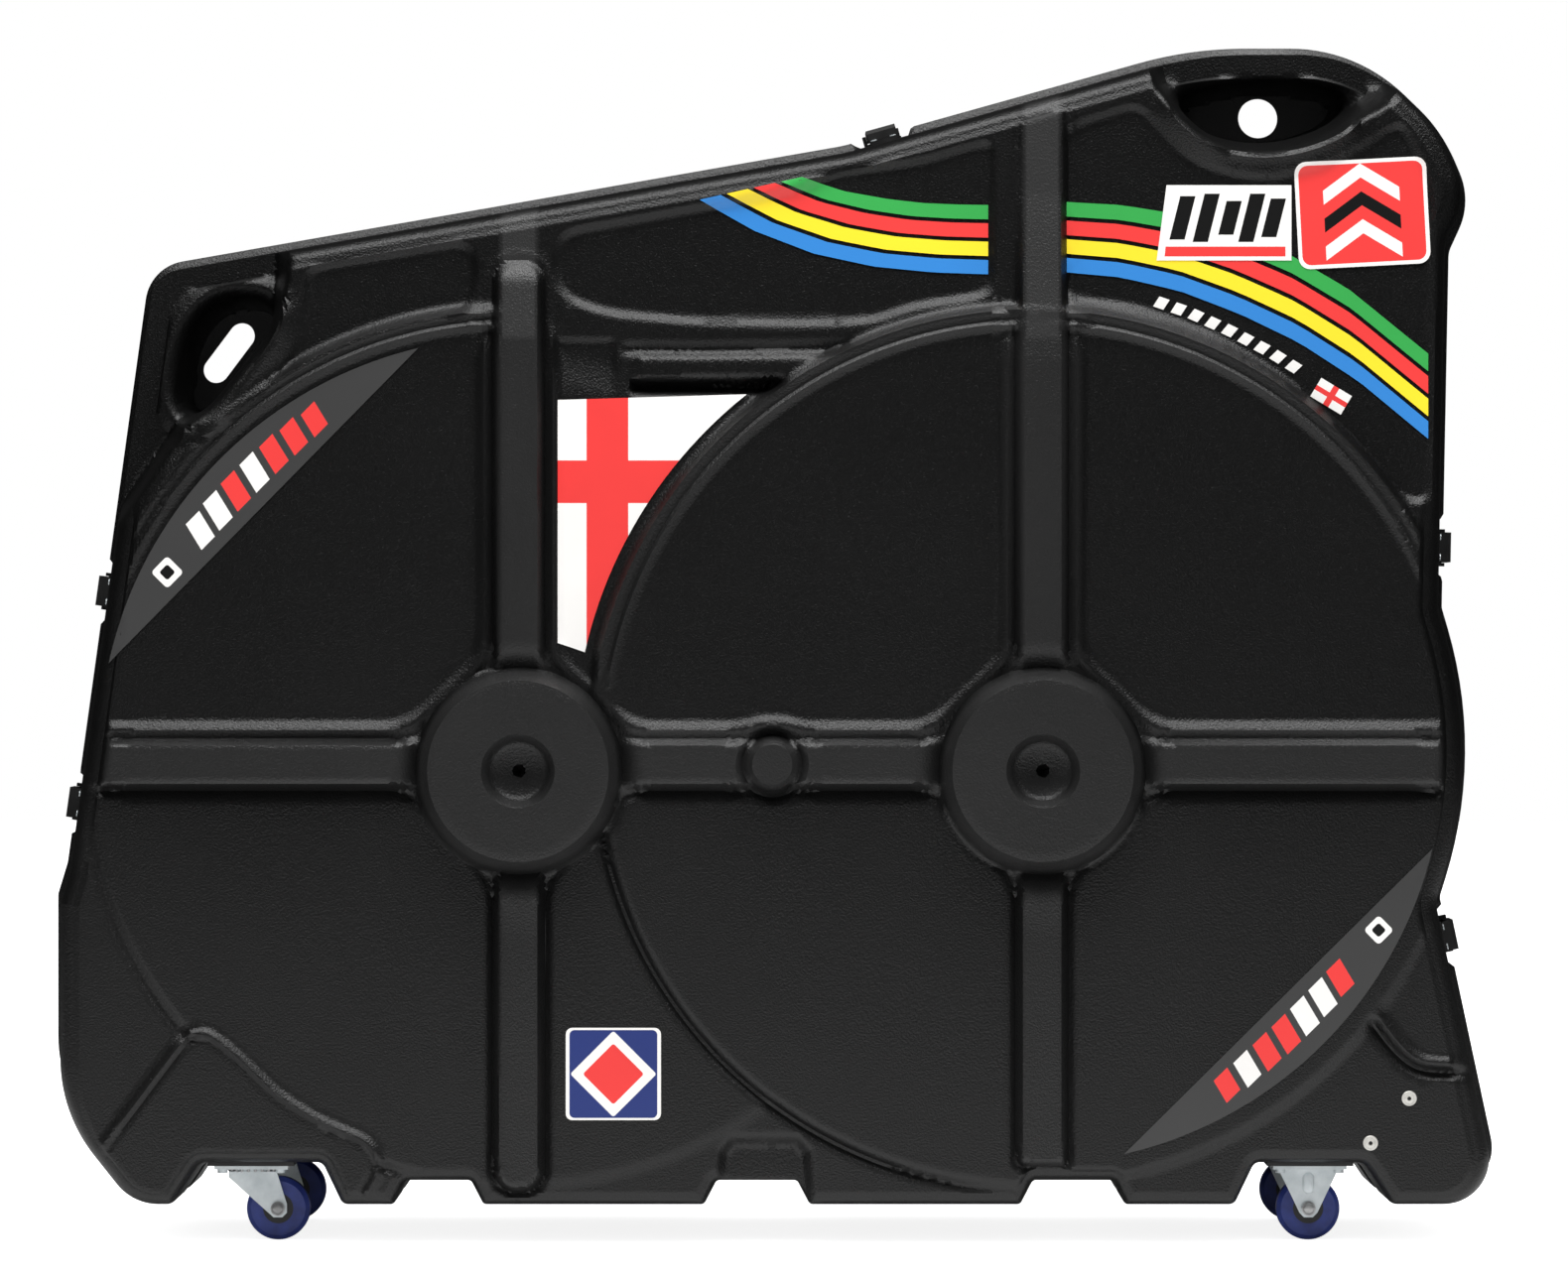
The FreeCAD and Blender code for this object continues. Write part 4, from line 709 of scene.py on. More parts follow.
def smooth(thing):
    """Smooth shading, with sharp edges above an angle."""
    thing.data.shade_smooth()
    thing.data.set_sharp_from_angle(angle=SHARP_ANGLE)
    return thing


def painted_mesh(name, vertices, faces, kinds, materials):
    """A smooth mesh object with several materials, and the number of one for each face."""
    thing = make_mesh(name, vertices, faces)
    thing.data.polygons.foreach_set("material_index", kinds)
    for made in materials:
        thing.data.materials.append(made)
    return smooth(thing)


def skin(vertices, faces, loops):
    """Both sides of the shell: the outer skin, an inner one a wall away, and strips that join them."""
    trial = make_mesh("trial", vertices, faces)
    normals = np.zeros(len(trial.data.vertices) * 3)
    trial.data.vertex_normals.foreach_get("vector", normals)
    bpy.data.objects.remove(trial)
    inner = vertices - normals.reshape(-1, 3) * WALL
    inner[:, 1] = np.minimum(inner[:, 1], -SEAM)
    count = len(vertices)
    joined = faces + [[v + count for v in reversed(face)] for face in faces]
    for loop in loops:
        for j, here in enumerate(loop):
            ahead = loop[(j + 1) % len(loop)]
            joined.append([here, here + count, ahead + count, ahead])
    return np.concatenate([vertices, inner]), joined


shell_points, shell_faces = skin(*half_shell_mesh())
front_shell = smooth(make_mesh("formed_front_shell", shell_points, shell_faces))
mirrored = shell_points * np.array([1, -1, 1])
rear_shell = smooth(make_mesh("formed_rear_shell", mirrored, [face[::-1] for face in shell_faces]))
for shell, body, solid in ((front_shell, "lid", "front_shell"), (rear_shell, "base", "rear_shell")):
    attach(shell, body)
    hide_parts(solid)


# Materials
GRAIN_ROUGHNESS, PATCH_DETAIL, PATCH_LOW, PATCH_HIGH = 0.6, 4.0, 0.35, 0.7


def screen(value):
    """Linear value of a screen value from 0 to 255."""
    share = value / 255
    return share / 12.92 if share <= 0.04045 else ((share + 0.055) / 1.055) ** 2.4


def colour(red, green, blue):
    """Linear colour of a screen colour."""
    return screen(red), screen(green), screen(blue)


def grey(value):
    """Linear colour of a screen grey."""
    return colour(value, value, value)


def material(name, tone, roughness, metallic=0.0):
    """A principled material of one tone."""
    made = bpy.data.materials.new(name)
    made.use_nodes = True
    shader = made.node_tree.nodes["Principled BSDF"]
    shader.inputs["Base Color"].default_value = (*tone, 1)
    shader.inputs["Roughness"].default_value = roughness
    shader.inputs["Metallic"].default_value = metallic
    return made


def node(made, kind, **values):
    """A node of a material with its inputs set."""
    thing = made.node_tree.nodes.new(kind)
    for name, value in values.items():
        thing.inputs[name.replace("_", " ")].default_value = value
    return thing


def link(made, source, target):
    """Join two sockets."""
    made.node_tree.links.new(source, target)


def math_node(made, operation, *values):
    """The result of a sum on sockets and numbers."""
    thing = node(made, "ShaderNodeMath")
    thing.operation = operation
    for place, value in enumerate(values):
        if isinstance(value, (int, float)):
            thing.inputs[place].default_value = value
        else:
            link(made, value, thing.inputs[place])
    return thing.outputs[0]


def vector_node(made, operation, vector, other=(0, 0, 0)):
    """The measure that a vector sum gives."""
    thing = node(made, "ShaderNodeVectorMath")
    thing.operation = operation
    thing.inputs[1].default_value = other
    link(made, vector, thing.inputs[0])
    return thing.outputs["Value"]


def ranged(made, value, low, high, **ends):
    """A socket's share of the way from one number to another, held between its ends."""
    thing = node(made, "ShaderNodeMapRange", From_Min=low, From_Max=high, **ends)
    link(made, value, thing.inputs["Value"])
    return thing.outputs["Result"]


def grain(made, scale, detail, strength, depth):
    """Fine surface grain, as bump from noise in the object's own space."""
    place = node(made, "ShaderNodeTexCoord").outputs["Object"]
    noise = node(made, "ShaderNodeTexNoise", Scale=scale, Detail=detail, Roughness=GRAIN_ROUGHNESS)
    bumped = node(made, "ShaderNodeBump", Strength=strength, Distance=depth)
    link(made, place, noise.inputs["Vector"])
    link(made, noise.outputs["Fac"], bumped.inputs["Height"])
    link(made, bumped.outputs["Normal"], made.node_tree.nodes["Principled BSDF"].inputs["Normal"])
    return place


def mottle(made, place, scale, dark, light, low=PATCH_LOW, high=PATCH_HIGH):
    """Colour that wanders between two tones, as its noise and its ramp."""
    noise = node(made, "ShaderNodeTexNoise", Scale=scale, Detail=PATCH_DETAIL)
    ramp = node(made, "ShaderNodeValToRGB")
    for element, position, tone in zip(ramp.color_ramp.elements, (low, high), (dark, light)):
        element.position = position
        element.color = (*tone, 1)
    link(made, place, noise.inputs["Vector"])
    link(made, noise.outputs["Fac"], ramp.inputs["Fac"])
    link(made, ramp.outputs["Color"], made.node_tree.nodes["Principled BSDF"].inputs["Base Color"])
    return noise.outputs["Fac"], ramp


def finished(name, tone, dark, light, roughness, grained, patches, metallic=0.0):
    """A material with grain, given as scale, detail, strength and depth, and patches of two tones."""
    made = material(name, tone, roughness, metallic)
    mottle(made, grain(made, *grained), patches, dark, light)
    return made


# The raised ribs and hubs get a painted highlight, paler than the flats, and the lower part a light painted
# reflection of the floor
PAINTED_HIGHLIGHT_FROM, PAINTED_HIGHLIGHT_TO = 0.1635, 0.1715
PAINTED_REFLECTION_TOP, PAINTED_REFLECTION_LOW, PAINTED_REFLECTION_SHARE = 0.46, 0.22, 0.20
DEEP_FROM, DEEP_TO = 0.07, 0.02
POCKET_FADE_FROM, POCKET_FADE_TO = 0.070, 0.050
FACED_FROM, FACED_TO = 0.140, 0.152
BESIDE_FROM, BESIDE_TO = (RIB_HALF + 3) * MM, (RIB_HALF - 2) * MM
LEANING_FROM, LEANING_TO, LEANING_SHARE = LEAN_RIGHT * MM, (LEAN_RIGHT + 20) * MM, 1.3
RAISED_SHARE, WANDER, WANDER_SCALE, NOISE_MIDDLE = 0.5, 0.15, 6.0, 0.5


def paint_relief_light(made, place, flat, painted_light_tone, painted_pocket_tone):
    """Colour with painted light in it: a painted highlight by level out from the seam, a painted reflection
    of the floor by height, and painted light on the pocket floors, wandering a little.
    """
    axes = node(made, "ShaderNodeSeparateXYZ")
    link(made, place, axes.inputs["Vector"])
    x, z = axes.outputs["X"], axes.outputs["Z"]
    level = math_node(made, "ABSOLUTE", axes.outputs["Y"])
    # Painted highlight on the raised parts, paler by level out from the seam
    painted_highlight = ranged(made, level, PAINTED_HIGHLIGHT_FROM, PAINTED_HIGHLIGHT_TO)
    # Painted reflection of the floor, paler towards the bottom
    painted_floor_reflection = ranged(made, z, PAINTED_REFLECTION_TOP, PAINTED_REFLECTION_LOW, To_Max=PAINTED_REFLECTION_SHARE)
    # Painted light on the floors of the two pockets, round the hand holes
    deep = ranged(made, level, DEEP_FROM, DEEP_TO)
    flattened = node(made, "ShaderNodeCombineXYZ")
    link(made, x, flattened.inputs["X"])
    link(made, z, flattened.inputs["Z"])
    reaches = []
    for hole_x, hole_z in (HOLE_LEFT, HOLE_RIGHT):
        middle = (hole_x * MM, 0, hole_z * MM)
        reaches.append(vector_node(made, "DISTANCE", flattened.outputs["Vector"], middle))
    pocket = ranged(made, math_node(made, "MINIMUM", *reaches), POCKET_FADE_FROM, POCKET_FADE_TO)
    painted_pocket_light = math_node(made, "MULTIPLY", deep, pocket)
    # Painted highlight on the upper ribs, which lean back below the level of the painted highlight
    sides = []
    for rib_x in (HUB_LEFT_X, HUB_RIGHT_X):
        sides.append(math_node(made, "ABSOLUTE", math_node(made, "SUBTRACT", x, rib_x * MM)))
    beside = ranged(made, math_node(made, "MINIMUM", *sides), BESIDE_FROM, BESIDE_TO)
    leaning = ranged(made, z, LEANING_FROM, LEANING_TO, To_Max=LEANING_SHARE)
    faced = ranged(made, level, FACED_FROM, FACED_TO)
    painted_rib_highlight = math_node(made, "MULTIPLY", math_node(made, "MULTIPLY", beside, leaning), faced)
    painted_light_share = math_node(made, "MAXIMUM", math_node(made, "MAXIMUM", painted_highlight, painted_floor_reflection), painted_rib_highlight)
    share = math_node(made, "MAXIMUM", math_node(made, "MULTIPLY", painted_light_share, RAISED_SHARE), painted_pocket_light)
    noise, ramp = mottle(made, place, WANDER_SCALE, flat, painted_light_tone, 0.0, RAISED_SHARE)
    ramp.color_ramp.elements.new(1.0).color = (*painted_pocket_tone, 1)
    wander = math_node(made, "SUBTRACT", noise, NOISE_MIDDLE)
    link(made, math_node(made, "MULTIPLY_ADD", wander, WANDER, share), ramp.inputs["Fac"])


shell_black = material("shell_black", grey(12), roughness=0.38)
shell_place = grain(shell_black, scale=620, detail=2, strength=0.65, depth=0.0010)
# Painted highlight on raised parts, painted floor reflection low down and painted light in the pockets, in
# the shell's colour
paint_relief_light(shell_black, shell_place, flat=grey(6), painted_light_tone=grey(32), painted_pocket_tone=grey(64))
for shell in (front_shell, rear_shell):
    shell.data.materials.append(shell_black)

# Stickers: thin closed sheets that follow the formed face, with outlines and bars as picture points
STICKER_LIFT, STICKER_SINK, STICKER_STEP, SLIVER = 0.8, 0.5, 4.0, 0.02
OUTLINE_CLEAR, REGION_CLEAR = 0.4 * STICKER_STEP, 0.3 * STICKER_STEP
BAND_STEPS, ARC_COUNT, CORNER_STEPS = 24, 40, 5


def dense(points, step=STICKER_STEP):
    """A closed line with points no further apart than a step."""
    return stepped(points, lambda run: max(1, math.ceil(run / step)))


def grid_places(low, high, step):
    """Places of a square grid between two corners."""
    x, z = np.meshgrid(np.arange(low[0], high[0], step), np.arange(low[1], high[1], step))
    return x.ravel(), z.ravel()


def closed_sheet(triangles, kept, count, numbers):
    """Faces of two layers of triangles and of the strips that join their rims, with their numbers."""
    faces, kinds, rim = [], [], {}
    for triangle, keep, kind in zip(triangles, kept, numbers):
        if not keep:
            continue
        faces += [list(triangle), [v + count for v in reversed(triangle)]]
        kinds += [kind, kind]
        for j in range(3):
            here, ahead = triangle[j], triangle[(j + 1) % 3]
            if rim.pop((ahead, here), None) is None:
                rim[here, ahead] = kind
    for (here, ahead), kind in rim.items():
        faces.append([here, here + count, ahead + count, ahead])
        kinds.append(kind)
    return faces, kinds


def sheet_faces(outline, regions, lift):
    """Points, faces and material numbers of one sheet: 0 for its ground, and one for each region."""
    lines = [dense(outline)] + [dense(region) for region, _ in regions]
    x, z = grid_places(np.min(outline, 0), np.max(outline, 0), STICKER_STEP)
    clear = edge_distance(x, z, outline) < -OUTLINE_CLEAR
    for region, _ in regions:
        clear &= np.abs(edge_distance(x, z, region)) > REGION_CLEAR
    points = [point for line in lines for point in line] + list(zip(x[clear], z[clear]))
    flat, triangles, middles, _ = flat_net(points, loop_edges(lines), NET_INSIDE)
    kept = edge_distance(middles[:, 0], middles[:, 1], outline) < SLIVER
    numbers = np.zeros(len(triangles), int)
    for region, kind in regions:
        numbers[edge_distance(middles[:, 0], middles[:, 1], region) < 0] = kind
    x, z = flat[:, 0], flat[:, 1]
    level = surface(x, z)
    layers = [np.stack([x, -level - lift, z], 1), np.stack([x, -level + STICKER_SINK, z], 1)]
    faces, kinds = closed_sheet(triangles, kept, len(flat), numbers)
    vertices, faces, _ = compact(np.concatenate(layers), faces, [])
    return vertices, faces, kinds


def sticker(name, sheets, materials, lift=STICKER_LIFT):
    """A sticker of several sheets, riding on the lid: outline, regions, and material number of the ground."""
    vertices, faces, kinds = [], [], []
    for outline, regions, ground in sheets:
        points, sheet, numbers = sheet_faces(outline, regions, lift)
        start = sum(len(part) for part in vertices)
        vertices.append(points)
        faces += [[v + start for v in face] for face in sheet]
        kinds += [kind if kind else ground for kind in numbers]
    thing = painted_mesh(name, np.concatenate(vertices), faces, kinds, materials)
    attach(thing, "lid")


def part_way(points, share):
    """A place at a share of the way along an open line of points."""
    points = np.array(points, float)
    runs = np.concatenate([[0], np.cumsum(np.linalg.norm(np.diff(points, axis=0), axis=1))])
    return np.array([np.interp(share * runs[-1], runs, points[:, k]) for k in (0, 1)])


def band(low, high, start, end):
    """Outline of a stripe between two shares of the way from one curve to another."""
    line = []
    for share, order in ((start, range(BAND_STEPS + 1)), (end, range(BAND_STEPS, -1, -1))):
        for j in order:
            first, second = part_way(low, j / BAND_STEPS), part_way(high, j / BAND_STEPS)
            line.append(tuple(first + (second - first) * share))
    return line


def arc(centre, radius, start, end, steps=ARC_COUNT):
    """Points of an arc between two angles in degrees."""
    turns = np.radians(np.linspace(start, end, steps + 1))
    return [(centre[0] + radius * math.cos(t), centre[1] + radius * math.sin(t)) for t in turns]


def angle_at(centre, point):
    """Direction of a point from a centre, in degrees."""
    return math.degrees(math.atan2(point[1] - centre[1], point[0] - centre[0]))


def halfway(a, b):
    """The place midway between two places."""
    return (a[0] + b[0]) / 2, (a[1] + b[1]) / 2


def turned(points, middle, tilt):
    """Points turned about a middle by an angle in degrees."""
    cos, sin = math.cos(math.radians(tilt)), math.sin(math.radians(tilt))
    return [(middle[0] + (x - middle[0]) * cos - (z - middle[1]) * sin,
             middle[1] + (x - middle[0]) * sin + (z - middle[1]) * cos) for x, z in points]


def rounded_box(low, high, radius, tilt=0.0, inset=0.0):
    """Outline of a box with round corners, drawn in by an inset and turned about its middle."""
    reach = radius + inset
    (x_a, z_a), (x_b, z_b) = low, high
    line = []
    for x, z, start in ((x_b - reach, z_b - reach, 0), (x_a + reach, z_b - reach, 90),
                        (x_a + reach, z_a + reach, 180), (x_b - reach, z_a + reach, 270)):
        line += arc((x, z), radius, start, start + 90, CORNER_STEPS)
    return turned(line, halfway(low, high), tilt)


def square(middle, half, radius, tilt=0.0):
    """Outline of a square with round corners about a middle."""
    x, z = middle
    return rounded_box((x - half, z - half), (x + half, z + half), radius, tilt)


def slanted(middle, width, rise, tilt, lean=0.25):
    """A slanted bar: a parallelogram about a middle, turned by an angle."""
    x, z = middle
    shift = rise * lean / 2
    line = [(x - width / 2 - shift, z - rise / 2), (x + width / 2 - shift, z - rise / 2),
            (x + width / 2 + shift, z + rise / 2), (x - width / 2 + shift, z + rise / 2)]
    return turned(line, middle, tilt)


FADED = 0.93


def vinyl(name, tone):
    """Printed vinyl: one tone that wanders a little, with a slight sheen and a fine ripple."""
    faded = tuple(FADED * part for part in tone)
    return finished(name, tone, faded, tone, roughness=0.38, grained=(700, 2, 0.12, 0.0003), patches=9)


RED = vinyl("sticker_red", colour(238, 58, 56))
GREEN = vinyl("sticker_green", colour(52, 168, 76))
YELLOW = vinyl("sticker_yellow", colour(252, 224, 40))
BLUE = vinyl("sticker_blue", colour(46, 132, 210))
NAVY = vinyl("sticker_navy", colour(34, 52, 120))
WHITE = vinyl("sticker_white", colour(243, 241, 238))
GREY = vinyl("sticker_grey", grey(62))
BLACK = vinyl("sticker_black", grey(20))

# Stripes in two lengths, either side of the right rib
STRIPE_LEFT_LOW = spots((705, 201), (760, 232), (820, 255), (880, 268), (940, 274), (996, 276))
STRIPE_LEFT_HIGH = spots((808, 178), (850, 192), (895, 200), (930, 204), (965, 205.5), (996, 206))
STRIPE_RIGHT_LOW = spots(
    (1075, 274), (1130, 279), (1190, 293), (1250, 316), (1310, 345), (1370, 384), (1440, 442))
STRIPE_RIGHT_HIGH = spots(
    (1075, 203), (1130, 206), (1180, 214), (1240, 232), (1300, 256), (1360, 291), (1440, 356))
STRIPE_COUNT, STRIPE_SHARE = 4, 0.78
stripes = []
for low_line, high_line in ((STRIPE_LEFT_LOW, STRIPE_LEFT_HIGH), (STRIPE_RIGHT_LOW, STRIPE_RIGHT_HIGH)):
    for stripe in range(STRIPE_COUNT):
        begin = stripe / (STRIPE_COUNT - 1 + STRIPE_SHARE)
        end = begin + STRIPE_SHARE / (STRIPE_COUNT - 1 + STRIPE_SHARE)
        stripes.append((band(low_line, high_line, begin, end), [], stripe))
sticker("stripe_band", stripes, [BLUE, YELLOW, RED, GREEN])

# White panel with a plain red cross, between the left rib and the right disc
CROSS_RADIUS, CROSS_STEPS = DISC_RADIUS + 24, 24
PANEL_TOP_LEFT, PANEL_TOP_RIGHT = spot(562, 403), spot(757, 403)
PANEL_FOOT_RIGHT, PANEL_FOOT_LEFT = spot(597, 659), spot(562, 648)
UPRIGHT_BAR = spots((591, 300), (633, 300), (633, 700), (591, 700))
LEVEL_BAR = spots((500, 464), (800, 464), (800, 507), (500, 507))
panel_start, panel_end = angle_at(DISC_RIGHT, PANEL_TOP_RIGHT), angle_at(DISC_RIGHT, PANEL_FOOT_RIGHT)
cross_panel = [PANEL_TOP_LEFT]
cross_panel += arc(DISC_RIGHT, CROSS_RADIUS, panel_start, panel_end, CROSS_STEPS)
cross_panel += [PANEL_FOOT_LEFT]
sticker("cross_panel", [(cross_panel, [(UPRIGHT_BAR, 1), (LEVEL_BAR, 1)], 0)], [WHITE, RED])

# Dark crescents: share along the chord and material number of each slanted bar
LEFT_BARS = [(0.36, 2), (0.42, 2), (0.48, 1), (0.54, 2), (0.60, 1), (0.66, 1), (0.72, 1)]
RIGHT_BARS = [(0.64, 1), (0.58, 2), (0.52, 2), (0.46, 1), (0.40, 1), (0.34, 2), (0.28, 1)]
LEFT_CRESCENT_RADIUS, RIGHT_CRESCENT_RADIUS = 327, 323
LEFT_RING_SHARE, RIGHT_RING_SHARE = 0.24, 0.78
LEFT_TIPS, RIGHT_TIPS = spots((112, 669), (421, 349)), spots((1132, 1160), (1446, 856))
CRESCENT_MIDDLE, BAR_WIDTH, BAR_SHARE = 0.47, 15, 0.5
RING_SHARE, RING_RADIUS, RING_HOLE_SHARE, RING_HOLE_RADIUS = 0.25, 3, 0.5, 2


def crescent(name, centre, radius, tips, ring_share, bars):
    """A dark crescent inside a disc's edge, with a plain ring and a row of slanted bars."""
    start, end = angle_at(centre, tips[0]), angle_at(centre, tips[1])
    if abs(end - start) > 180:
        end += math.copysign(360, start - end)
    outline = arc(centre, radius, start, end)
    first, last = np.array(outline[0]), np.array(outline[-1])
    chord = last - first
    to_chord = (first + last) / 2 - np.array(centre)
    depth = radius - np.linalg.norm(to_chord)
    outward = to_chord / np.linalg.norm(to_chord)
    tilt = angle_at(first, last)
    if abs(tilt) > 90:
        tilt -= math.copysign(180, tilt)

    def bulge(share):
        return depth * (1 - (2 * share - 1) ** 2)

    def place_at(share):
        return tuple(first + chord * share + outward * bulge(share) * CRESCENT_MIDDLE)

    regions = []
    for share, kind in bars:
        regions.append((slanted(place_at(share), BAR_WIDTH, BAR_SHARE * bulge(share), tilt), kind))
    half = RING_SHARE * bulge(ring_share)
    regions.append((square(place_at(ring_share), half, RING_RADIUS, tilt), 2))
    regions.append((square(place_at(ring_share), RING_HOLE_SHARE * half, RING_HOLE_RADIUS, tilt), 3))
    sticker(name, [(outline, regions, 0)], [GREY, RED, WHITE, BLACK])


crescent("crescent_left", DISC_LEFT, LEFT_CRESCENT_RADIUS, LEFT_TIPS, LEFT_RING_SHARE, LEFT_BARS)
crescent("crescent_right", DISC_RIGHT, RIGHT_CRESCENT_RADIUS, RIGHT_TIPS, RIGHT_RING_SHARE, RIGHT_BARS)

# Label under the right grip: a white plate with slanted blocks beside a red tile with chevrons
LABEL_LIFT = 1.3
LABEL_PLATE = spots((1166, 262), (1176, 186), (1302, 186), (1302, 262))
LABEL_BAR = spots((1174, 258), (1175, 248), (1296, 248), (1296, 258))
LABEL_BLOCKS = [(1192, 0.9), (1216, 1.0), (1240, 0.7), (1262, 1.0), (1284, 0.8)]
LABEL_ROW, BLOCK_WIDTH, BLOCK_RISE = 219, 12, 38
TILE_LOW, TILE_HIGH, TILE_TILT = spot(1307, 268), spot(1440, 160), 3
TILE_RADIUS, TILE_EDGE, TILE_INNER_RADIUS = 9, 3, 7
CHEVRON_GAP, CHEVRON_HALF, CHEVRON_THICK = 22, 30, 11
CHEVRON_FOOT, CHEVRON_TIP = -14, 6
label_regions = []
for block_x, rise in LABEL_BLOCKS:
    label_regions.append((slanted(spot(block_x, LABEL_ROW), BLOCK_WIDTH, BLOCK_RISE * rise, 0), 1))
label_regions.append((LABEL_BAR, 2))
tile = rounded_box(TILE_LOW, TILE_HIGH, TILE_RADIUS, TILE_TILT)
tile_regions = [(rounded_box(TILE_LOW, TILE_HIGH, TILE_INNER_RADIUS, TILE_TILT, TILE_EDGE), 2)]
tile_middle = halfway(TILE_LOW, TILE_HIGH)
for step, kind in ((-1, 3), (0, 1), (1, 3)):
    x, z = tile_middle[0], tile_middle[1] + CHEVRON_GAP * step
    foot, tip = z + CHEVRON_FOOT, z + CHEVRON_TIP
    chevron = [(x - CHEVRON_HALF, foot), (x, tip), (x + CHEVRON_HALF, foot),
               (x + CHEVRON_HALF, foot + CHEVRON_THICK), (x, tip + CHEVRON_THICK),
               (x - CHEVRON_HALF, foot + CHEVRON_THICK)]
    tile_regions.append((turned(chevron, tile_middle, TILE_TILT), kind))
label_sheets = [(LABEL_PLATE, label_regions, 0), (tile, tile_regions, 0)]
sticker("label", label_sheets, [WHITE, BLACK, RED, WHITE], LABEL_LIFT)

# Row of short white dashes under the stripes, ending in a small flag with a plain cross
DASH_LINE = spots((1162, 302), (1200, 315), (1240, 333), (1280, 354), (1312, 374))
DASH_COUNT, DASH_WIDTH, DASH_RISE, DASH_PROBE = 9, 8.5, 9, 0.02
FLAG_MIDDLE, FLAG_TILT = spot(1342, 399), -31
FLAG_SIZE, FLAG_UPRIGHT, FLAG_LEVEL = (28, 17), (5, 40), (60, 4)
dashes = []
for dash in range(DASH_COUNT):
    share = (dash + 0.5) / DASH_COUNT
    behind, ahead = part_way(DASH_LINE, share - DASH_PROBE), part_way(DASH_LINE, share + DASH_PROBE)
    middle = tuple(part_way(DASH_LINE, share))
    dashes.append((slanted(middle, DASH_WIDTH, DASH_RISE, angle_at(behind, ahead)), [], 0))
FLAG_SHAPES = (FLAG_SIZE, FLAG_UPRIGHT, FLAG_LEVEL)
flag, *flag_bars = [slanted(FLAG_MIDDLE, *size, FLAG_TILT, lean=0) for size in FLAG_SHAPES]
sticker("dash_row", dashes + [(flag, [(bar, 1) for bar in flag_bars], 0)], [WHITE, RED])

# Square sticker at the bottom: navy tile with a white diamond and a red middle
TAG_LOW, TAG_HIGH, TAG_RADIUS = spot(570, 1129), spot(666, 1036), 5
TAG_TILE, TAG_DIAMOND, TAG_MIDDLE = (34.5, 4), (24, 2, 45), (17, 2, 45)
tag_regions = []
for kind, shape in enumerate((TAG_TILE, TAG_DIAMOND, TAG_MIDDLE), start=1):
    tag_regions.append((square(halfway(TAG_LOW, TAG_HIGH), *shape), kind))
tag = rounded_box(TAG_LOW, TAG_HIGH, TAG_RADIUS)
sticker("square_tag", [(tag, tag_regions, 0)], [WHITE, NAVY, WHITE, RED])

# Fittings keep their solids, with eased edges and their own finishes
zinc = finished("bright_zinc", grey(212), colour(192, 200, 203), colour(222, 228, 230),
                roughness=0.34, metallic=0.35, grained=(260, 4, 0.10, 0.0004), patches=60)
tyre_blue = finished("tyre_blue", colour(38, 52, 122), colour(32, 45, 108), colour(44, 60, 136),
                     roughness=0.5, grained=(500, 3, 0.2, 0.0003), patches=70)
core_black = finished("core_black", grey(26), grey(22), grey(32),
                      roughness=0.42, grained=(500, 2, 0.2, 0.0003), patches=50)
catch_black = finished("catch_black", grey(30), grey(25), grey(36),
                       roughness=0.36, grained=(700, 2, 0.15, 0.0003), patches=50)
seal_rubber = finished("seal_rubber", grey(18), grey(14), grey(22),
                       roughness=0.75, grained=(400, 3, 0.25, 0.0004), patches=30)
pad_plate = finished("pad_plate", grey(34), grey(28), grey(40),
                     roughness=0.6, grained=(500, 3, 0.2, 0.0004), patches=40)
pole_tube = finished("pole_tube", grey(190), grey(175), grey(205),
                     roughness=0.3, metallic=0.7, grained=(300, 3, 0.08, 0.0003), patches=40)
foam_grey = finished("foam_grey", grey(48), grey(38), grey(58),
                     roughness=0.95, grained=(900, 5, 0.6, 0.0012), patches=220)
rivet_steel = finished("rivet_steel", grey(214), colour(196, 194, 188), colour(232, 230, 224),
                       roughness=0.32, metallic=0.3, grained=(420, 3, 0.12, 0.0003), patches=90)
head_steel = finished("head_steel", grey(170), grey(140), grey(188),
                      roughness=0.3, metallic=0.5, grained=(420, 3, 0.15, 0.0003), patches=120)

# Part of a solid's name, and the finish and width of eased edge that go with it
FINISHES = [("tyre", tyre_blue), ("core", core_black), ("_pad", pad_plate), ("catch_rivets", zinc),
            ("catch_pins", zinc), ("catch", catch_black), ("seal", seal_rubber), ("pole", pole_tube),
            ("", zinc)]
EASED_WIDTHS = [("tyre", 1.6), ("core", 0.8), ("fork", 0.5), ("lever", 0.9), ("base", 0.6), ("keeper", 0.6),
                ("rivets", 0.5), ("axle", 0.6), ("", 0.3)]
EASED_STEPS = 3


def chosen(table, name):
    """What a table gives for the first of its words that a name holds."""
    return next(value for word, value in table if word in name)


for name, thing in nodes.items():
    thing.data.materials.clear()
    thing.data.materials.append(chosen(FINISHES, name))
    eased = thing.modifiers.new("eased_edges", "BEVEL")
    eased.width = chosen(EASED_WIDTHS, name) * MM
    eased.segments = EASED_STEPS
    eased.limit_method = "ANGLE"
    eased.angle_limit = SHARP_ANGLE
    eased.harden_normals = True

